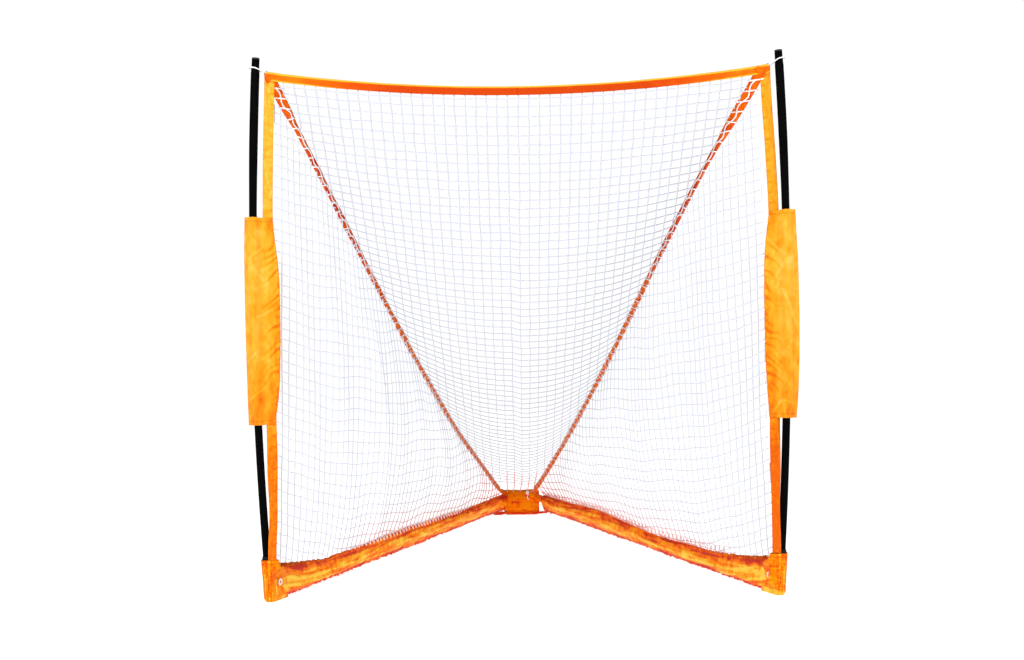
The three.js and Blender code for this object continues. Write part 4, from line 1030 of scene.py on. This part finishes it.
def crossbar_row(x, seed):
    """One upright row of the top band, with painted highlights along its edges and towards its corner."""
    middle = float(crossbar_height(x))
    half = 16.6 + 0.6 * ripple(x / 90, seed, 0)
    # Painted highlights: the whole band lighter towards its corner, its top edge lighter, and its bottom edge
    # lighter towards the corner.
    corner = 0.5 * smooth((x - 420) / 500)
    row, shade = [], []
    for t in np.linspace(-1, 1, 11):
        pucker = 0.9 * ripple(x / 20, t * 1.5 + seed, 1) * (0.3 + abs(t)) * smooth(x / 60)
        roll = 1.6 * (1 - t * t)
        row.append((x, BAND_Y - roll + pucker - 3.2 * smooth((x - 880) / 40), middle + t * half))
        edge = 1.3 * smooth((t - 0.5) / 0.3) + 0.6 * smooth((-0.6 - t) / 0.4) * smooth((x - 500) / 300)
        shade.append(edge + corner + 0.08 * ripple(x / 30, t * 2 + seed, 3) - 0.42)
    return row, shade


def make_crossbar():
    for side, sign in SIDES:
        seed = 2.0 if sign < 0 else 6.0
        rows, shade = zip(*(crossbar_row(x, seed) for x in np.linspace(0, CROSSBAR_HALF_LENGTH + 1, 190)))
        band = shell(side + "_top_band", mirror(rows, sign), 2.6, CROSSBAR_CLOTH, shade=shade, facing=True)
        finished(band, None, "crossbar_webbing", "crossbar_band",
                 blend=hub_to_arm(side, (0, BAND_Y, 1900), (sign * 860, BAND_Y, 1900)))


make_crossbar()

# Diagonal straps, with the cord that laces both nets to them

LACING_STEP = 46.0
LACING_START = 0.004
LACING_WAVE = 0.36


def strap_normal(share):
    top, low = np.array((0.3, 0.68, 0.67)), np.array((0.87, 0.08, 0.49))
    t = min(share * 4, 1)
    n = top * (1 - t) + low * t
    return n / np.linalg.norm(n)


def strap_centre(share, sign):
    rise = 14 * smooth((share - 0.95) / 0.07)
    p = np.append(panel_point(share), strap_height(min(share, 1)) + rise)
    return p + strap_normal(share) * 3.2 + INWARD * drawn_in(share, sign)


def strap_turn(share, sign):
    """The webbing starts facing the mouth and soon turns most of its width away from it."""
    start, reach = (0.012, 0.06) if sign < 0 else (0.035, 0.08)
    return 0.1 + smooth((share - start) / reach) + 0.16 * ripple(share * 16, sign * 3.0, 0.7)


def strap_frame(share, sign):
    """Middle of the strap, its direction across, and its face towards the mouth."""
    centre = strap_centre(share, sign)
    ahead = strap_centre(share + 0.01, sign) - strap_centre(share - 0.01, sign)
    ahead /= np.linalg.norm(ahead)
    level = np.cross(ahead, (0, -1.0, 0))
    level /= np.linalg.norm(level)
    deep = np.cross(ahead, level)
    turn = strap_turn(share, sign)
    across = level * math.cos(turn) + deep * math.sin(turn)
    face = np.cross(ahead, across)
    return centre, across, face if face[1] < 0 else -face


def strap_row(share, sign):
    centre, across, face = strap_frame(share, sign)
    half = STRAP_WIDTH / 2 + 0.8 * ripple(share * 40, sign * 7.0, 0)
    # Painted light: the strap lighter near its top and over its lower part, mottled across.
    light = 0.3 * smooth((0.22 - share) / 0.2) + 0.5 * smooth((share - 0.2) / 0.3)
    row, shade = [], []
    for t in np.linspace(-1, 1, 9):
        cup = 1.6 * ripple(share * 55, t * 1.2, sign * 2.0) * abs(t)
        row.append(centre + across * half * t + face * cup)
        shade.append(light + 0.3 * ripple(share * 70, t, sign * 5.0))
    return row, shade


def strap_lacing(sign, length):
    """A rung at each mesh, and near the top a wavy line between them."""
    step = LACING_STEP / length
    count = int(0.985 / step)
    line, rungs = [], []
    for i in range(int(LACING_WAVE * count) * 4):
        centre, across, face = strap_frame(LACING_START + i * step / 4, sign)
        wave = 7 * math.sin(i * math.pi / 4) + 4 * ripple(i * 0.3, sign * 2.0, 9)
        line.append(centre + across * wave + face * 3.6)
    for i in range(count):
        skew = step * (0.3 + 0.25 * ripple(i * 0.9, sign * 4.0, 2))
        rung = []
        for t in (-1.25, -1.05, -0.4, 0.4, 1.05, 1.25):
            centre, across, face = strap_frame(LACING_START + i * step + skew * t, sign)
            lift = 3.8 if abs(t) < 1.2 else -1.0
            rung.append(centre + across * STRAP_WIDTH / 2 * t + face * lift)
        rungs.append(mirror(rung, sign))
    return [mirror(line, sign)] + rungs


def make_straps():
    for side, sign in SIDES:
        shares = np.linspace(-0.012, 1.018 if sign < 0 else 1.0, 260)
        rows, shade = zip(*(strap_row(share, sign) for share in shares))
        grid = mirror(rows, sign)
        strap = shell(side + "_diagonal_strap_web", grid, 2.0, STRAP_CLOTH, shade=shade, facing=True)
        finished(strap, side + "_arm", "orange_webbing", side + "_diagonal_strap")
        length = float(lengths_along(grid[:, 4])[-1])
        # The lacing takes a little painted reflection of the orange cloth towards the apex.
        lacing = tubes(side + "_strap_lacing", strap_lacing(sign, length), 2.8, WHITE_CORD, sides=6,
                       taper=0.5, painted_reflection=lambda p, upright: 0.25 * smooth((p[1] - 1500) / 500))
        finished(lacing, side + "_arm", "net")


make_straps()

# Pole pockets: padded satin pouches. An outline gives a share of the height, the inner edge, and how far
# the outer edge lies from the pole. A crease runs between two spots, in shares across and up; along it the
# cloth has a ridge and a painted highlight.

POCKET_LOW = 649.0
POCKET_HIGH = 1421.0
POCKET_TALL = POCKET_HIGH - POCKET_LOW
POCKET_WIDE = 78
POCKET_POINTS = 40
POCKETS = {-1: ((0, 916, 35.5), (0.1, 906, 35), (0.18, 898, 34.5), (0.4, 894, 34), (0.65, 895, 34),
                (0.75, 899, 34), (0.84, 907, 34), (0.9, 914, 33), (1, 920, 32)),
           1: ((0, 917, 38), (0.1, 913, 43), (0.25, 907, 46), (0.5, 906, 46), (0.75, 909, 43),
               (0.9, 920, 38), (1, 934, 36))}
CREASES = {-1: (((0.9, 0.12), (0.35, 0.19)), ((0.62, 0.52), (0.3, 0.55)), ((0.8, 0.8), (0.4, 0.86)),
                ((0.95, 0.3), (0.6, 0.36))),
           1: (((0.12, 0.02), (0.45, 0.09)), ((0.45, 0.09), (0.95, 0.06)), ((0.45, 0.09), (0.55, 0.0)),
               ((0.5, 0.62), (0.95, 0.42)), ((0.15, 0.86), (0.6, 0.78)))}
POLE_SWAY = 5.4
POLE_CLEARANCE = 17.4


def creased(t, share, sign):
    """How close a spot of the pocket is to one of its sharp creases."""
    size = np.array((POCKET_WIDE, POCKET_TALL))
    spot = size * (t, share)
    best = 0.0
    for start, stop in CREASES[sign]:
        a, b = size * start, size * stop
        along = np.clip((spot - a) @ (b - a) / ((b - a) @ (b - a)), 0, 1)
        best = max(best, hump(np.linalg.norm(spot - a - along * (b - a)), 2.6 - 1.2 * along))
    return best


def pocket_loop(z, sign):
    """One level loop of a pocket, along its front and back again: its points and the painted light and shade
    of each.
    """
    seed = 31.0 if sign < 0 else 47.0
    share = (z - POCKET_LOW) / POCKET_TALL
    pole = float(pole_point(z)[0])
    inner, outer = averaged(POCKETS[sign], np.clip(share + np.linspace(-0.05, 0.05, 7), 0, 1))
    outer += pole
    full = 0.55 + 0.45 * math.sin(math.pi * min(max(share, 0.02), 0.98)) ** 0.5
    end = min(z - POCKET_LOW, POCKET_HIGH - z)
    hem, stitch = smooth((15 - end) / 5), hump(end - 15, 1.7)
    tuck = hump((z + 9) % MESH - MESH / 2, 3.4)
    # Painted light and shade by height: darker at the bottom and the top, lightest around three quarters up.
    light = 0.2 * smooth(share / 0.3) - 0.1 * smooth((share - 0.93) / 0.07) - 0.1
    light += 0.12 * hump(share - 0.72, 0.2)
    row, shade = [], []
    for k in range(2 * POCKET_POINTS):
        front = k < POCKET_POINTS
        t = (k + 0.5 if front else 2 * POCKET_POINTS - k - 0.5) / POCKET_POINTS
        x = inner + (outer - inner) * t
        diagonal = ripple((x + 0.5 * z) / 30 + seed, (z - 0.7 * x) / 150, 1)
        across = ripple(x / 60, z / 26 + seed, 2)
        long = ripple(x / 11 + seed, z / 210, 3)
        fine = ripple((x - 0.6 * z) / 12 + seed, (z + x) / 60, 5)
        sweep = z + 0.8 * (x - inner) + 26 * ripple(z / 70, x / 60, seed)
        pleat = (0.5 + 0.5 * math.sin(sweep * 2 * math.pi / 29)) ** 3
        pleat *= smooth(0.5 + 1.6 * ripple(sweep / 31, t * 1.5, seed + 4))
        pleat *= hump(t, 0.42) * smooth((share - 0.06) / 0.15) * smooth((0.93 - share) / 0.1)
        crease = creased(t, share, sign) if front else 0.0
        inward = tuck * smooth((0.2 - t) / 0.2)
        edge = math.sqrt(max(1 - (2 * t - 1) ** 6, 0))
        folds = (2.9 * diagonal + 1.7 * across + 1.5 * long + 0.9 * fine) * edge + 1.3 * crease - 1.8 * pleat
        bulge = (15.5 * hump(x - pole, 21) + 5.2) * edge * full
        depth = bulge + folds * (1 - 0.6 * hem) - 1.2 * stitch - 1.3 * inward
        lean = 17 * (1 - smooth((x - (pole - 34)) / 34))
        off = max(abs(x - pole - POLE_SWAY / 2) - POLE_SWAY / 2, 0)
        clear = math.sqrt(POLE_CLEARANCE ** 2 - off ** 2) if off < POLE_CLEARANCE else -99
        y = min(lean - depth, -clear) if front else max(lean + depth, clear)
        row.append((x + 0.8 * ripple(z / 25, seed, t) + 1.2 * inward, y, z))
        # The folds are painted lighter on their ridges, the creases get painted highlights and the pleats
        # painted shade; the inner part, the hem stitch and the tucks get painted shade.
        painted_light = light + 0.1 * diagonal + 0.06 * across + 0.1 * long + 0.1 * fine + 0.26 * crease - 0.5 * pleat
        painted_light -= 0.14 * smooth((0.42 - t) / 0.3) + 0.12 * smooth((0.07 - t) / 0.07)
        shade.append(painted_light - 0.3 * stitch - 0.2 * inward)
    return row, shade


def make_pockets():
    heights = np.concatenate([np.linspace(0, 24, 17), np.linspace(27.5, POCKET_TALL - 27.5, 190),
                              np.linspace(POCKET_TALL - 24, POCKET_TALL, 17)]) + POCKET_LOW
    uv = loop_map(heights, 2 * POCKET_POINTS, 3.1)
    for side, sign in SIDES:
        rows, shade = zip(*(pocket_loop(z, sign) for z in heights))
        grid = mirror(rows, sign)
        pocket = shell(side + "_pole_pocket_cloth", grid, 1.2, POCKET_CLOTH, uv, closed=True, shade=shade)
        finished(pocket, side + "_arm", "yellow_fabric", side + "_pole_pocket")
        girth(grid)


make_pockets()

# Apex wrap: two halves, sewn in the middle, one on each side

WRAP_POINTS = 96
WRAP_REACH = 97
WRAP_HALF_DEPTH = 43.5
WRAP_HALF_HEIGHT = 72.6
WRAP_MIDDLE_Z = 73.6
WRAP_CLOSING = (0.9, 0.62, 0.3, 0.03)


def wrap_loop(x, t, close, sign):
    """One upright loop of the wrap, shrunk to a share of its size where the end closes."""
    seed = 13.0 if sign < 0 else 19.0
    row, shade = [], []
    for k in range(WRAP_POINTS):
        angle = 2 * math.pi * k / WRAP_POINTS
        c, s = math.cos(angle), math.sin(angle)
        power = 0.6 if s > 0 else 0.32
        y = WRAP_HALF_DEPTH * math.copysign(abs(c) ** power, c)
        z = (WRAP_HALF_HEIGHT - (s > 0) * (12 - 5.5 * t)) * math.copysign(abs(s) ** power, s)
        foot = z + WRAP_HALF_HEIGHT
        fold = 2.6 * ripple(x / 90, (z + 0.3 * x) / 9 + seed, y / 60)
        fold += 1.6 * ripple(x / 20 + seed, z / 14, y / 30)
        fold *= (1.0 - 0.8 * smooth((8 - foot) / 8)) * (0.5 if t < 0.04 else 1)
        grow = (1 + (fold - 3 * t ** 2) / 60) * close
        # Painted light and shade: lighter on the folds' ridges, painted shade along the bottom and at the
        # closing end.
        shade.append(0.16 * fold + 0.1 - 0.5 * smooth((12 - foot) / 10) - 0.3 * smooth((t - 0.9) / 0.1))
        row.append((x, BRACKET_MIDDLE_Y + y * grow, max(WRAP_MIDDLE_Z + z * grow, 1.0)))
    return row, shade


def make_wrap():
    loops = [(WRAP_REACH * t, t, 1.0) for t in np.linspace(0, 1, 26)]
    loops += [(WRAP_REACH + 1.6, 1.0, close) for close in WRAP_CLOSING]
    uv = loop_map([x for x, t, close in loops], WRAP_POINTS, 4.6)
    for side, sign in SIDES:
        rows, shade = zip(*(wrap_loop(*loop, sign) for loop in loops))
        grid = mirror(rows, sign)
        wrap = shell(side + "_apex_wrap_cloth", grid, 1.4, WRAP_CLOTH, uv, closed=True, shade=shade)
        finished(wrap, None, "orange_fabric", "apex_wrap",
                 blend=hub_to_arm(side, (sign * 20, 2200, 70), (sign * 110, 2180, 70)))


make_wrap()

# Apex tie: a strap across the front of the wrap, with a loose tail

TIE_Y = 2163.6


def make_tie():
    rows = []
    for x in np.linspace(-166, 141, 90):
        tail = smooth((-92 - x) / 26)
        half = 6.4 + 3.4 * tail * smooth((x + 168) / 18) + 0.8 * ripple(x / 13, 5, 2)
        middle = 8.2 + 7.5 * (1 - tail) * abs((x - 10) / 140) ** 1.3 + 3.0 * tail
        twist = 0.9 * ripple(x / 22, 8, 1) * tail
        row = []
        for t in np.linspace(-1, 1, 7):
            y = TIE_Y + 6 * t * math.sin(twist) + (1.0 + 2.0 * tail) * ripple(x / 12, t, 3)
            row.append((x, y, max(middle + half * t * math.cos(twist), GROUND_GAP)))
        rows.append(row)
    tie = shell("apex_tie_strap", rows, 1.8, STRAP_CLOTH, facing=True)
    finished(tie, "hub", "orange_webbing", "apex_tie")


make_tie()


def make_knot():
    """The knotted end of the lacing, hanging on the front of the wrap."""
    turns = np.linspace(0, 2.6 * 2 * math.pi, 60)
    knot = np.stack([33 + 6.5 * np.cos(turns), 2160 + 3.2 * np.sin(2 * turns),
                     121 + 6 * np.sin(turns) + 0.5 * turns], -1)
    tail = [(33, 2160, 124), (37, 2158, 112), (31, 2157.5, 102), (34, 2157.5, 93), (40, 2157.5, 88)]
    cord = tubes("apex_lacing_knot", [knot, tail], 2.4, WHITE_CORD, sides=6)
    finished(cord, "hub", "white_cord")


make_knot()

# Button springs: leaves between arm and button. The margins are in metres.

HELD_MARGIN = 0.003
PRESSED_MARGIN = 0.001


def make_springs():
    for side in ("left", "right"):
        node = frame["nodes"][side + "_button_spring"]
        spring = bpy.data.objects.new(side + "_leaf_spring", node.data.copy())
        spring.matrix_world = node.matrix_world.copy()
        bpy.context.scene.collection.objects.link(spring)
        low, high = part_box(side + "_button_spring")
        x, y = [(a + b) / 2 for a, b in zip(low[:2], high[:2])]
        held, pressed = (x, y, low[2] + HELD_MARGIN), (x, y, high[2] - PRESSED_MARGIN)
        finished(spring, None, "steel", side + "_button_spring",
                 blend=(side + "_arm", side + "_button", held, pressed))


make_springs()

# Stage, in metres: a pale floor that glows a little, a white backdrop and two lamps

FLOOR_HALF = 14.0
FLOOR_GLOW = 0.72
BACKDROP = 1.05
AMBIENT = 0.42
LAMP_TARGET = Vector((0, 0, 0.9))
LAMPS = (("key", (-1.8, -5.0, 4.6), 1.2, 170), ("fill", (3.4, -4.6, 2.6), 2.0, 55))


def make_floor():
    mesh = bpy.data.meshes.new("floor")
    corners = [(a * FLOOR_HALF, b * FLOOR_HALF, 0) for a, b in ((-1, -1), (1, -1), (1, 1), (-1, 1))]
    mesh.from_pydata(corners, [], [(0, 1, 2, 3)])
    n = Nodes("pale_floor")
    n.set(Base_Color=(0.9, 0.9, 0.9, 1), Roughness=0.9)
    n.set(Emission_Color=(1, 1, 1, 1), Emission_Strength=FLOOR_GLOW)
    mesh.materials.append(n.material)
    floor = bpy.data.objects.new("floor", mesh)
    bpy.context.scene.collection.objects.link(floor)


def make_world():
    world = bpy.data.worlds.new("studio")
    world.use_nodes = True
    nodes, links = world.node_tree.nodes, world.node_tree.links
    seen, soft = nodes["Background"], nodes.new("ShaderNodeBackground")
    for shader, colour, strength in ((seen, (1, 1, 1, 1), BACKDROP), (soft, (0.97, 0.985, 1, 1), AMBIENT)):
        shader.inputs[0].default_value = colour
        shader.inputs[1].default_value = strength
    mix = nodes.new("ShaderNodeMixShader")
    links.new(nodes.new("ShaderNodeLightPath").outputs["Is Camera Ray"], mix.inputs[0])
    links.new(soft.outputs[0], mix.inputs[1])
    links.new(seen.outputs[0], mix.inputs[2])
    links.new(mix.outputs[0], nodes["World Output"].inputs["Surface"])
    bpy.context.scene.world = world


def make_lamps():
    for name, place, size, power in LAMPS:
        light = bpy.data.lights.new(name, "AREA")
        light.energy = power
        light.size = size
        lamp = bpy.data.objects.new(name, light)
        lamp.location = place
        lamp.rotation_euler = (LAMP_TARGET - Vector(place)).to_track_quat("-Z", "Y").to_euler()
        bpy.context.scene.collection.objects.link(lamp)


make_floor()
make_world()
make_lamps()
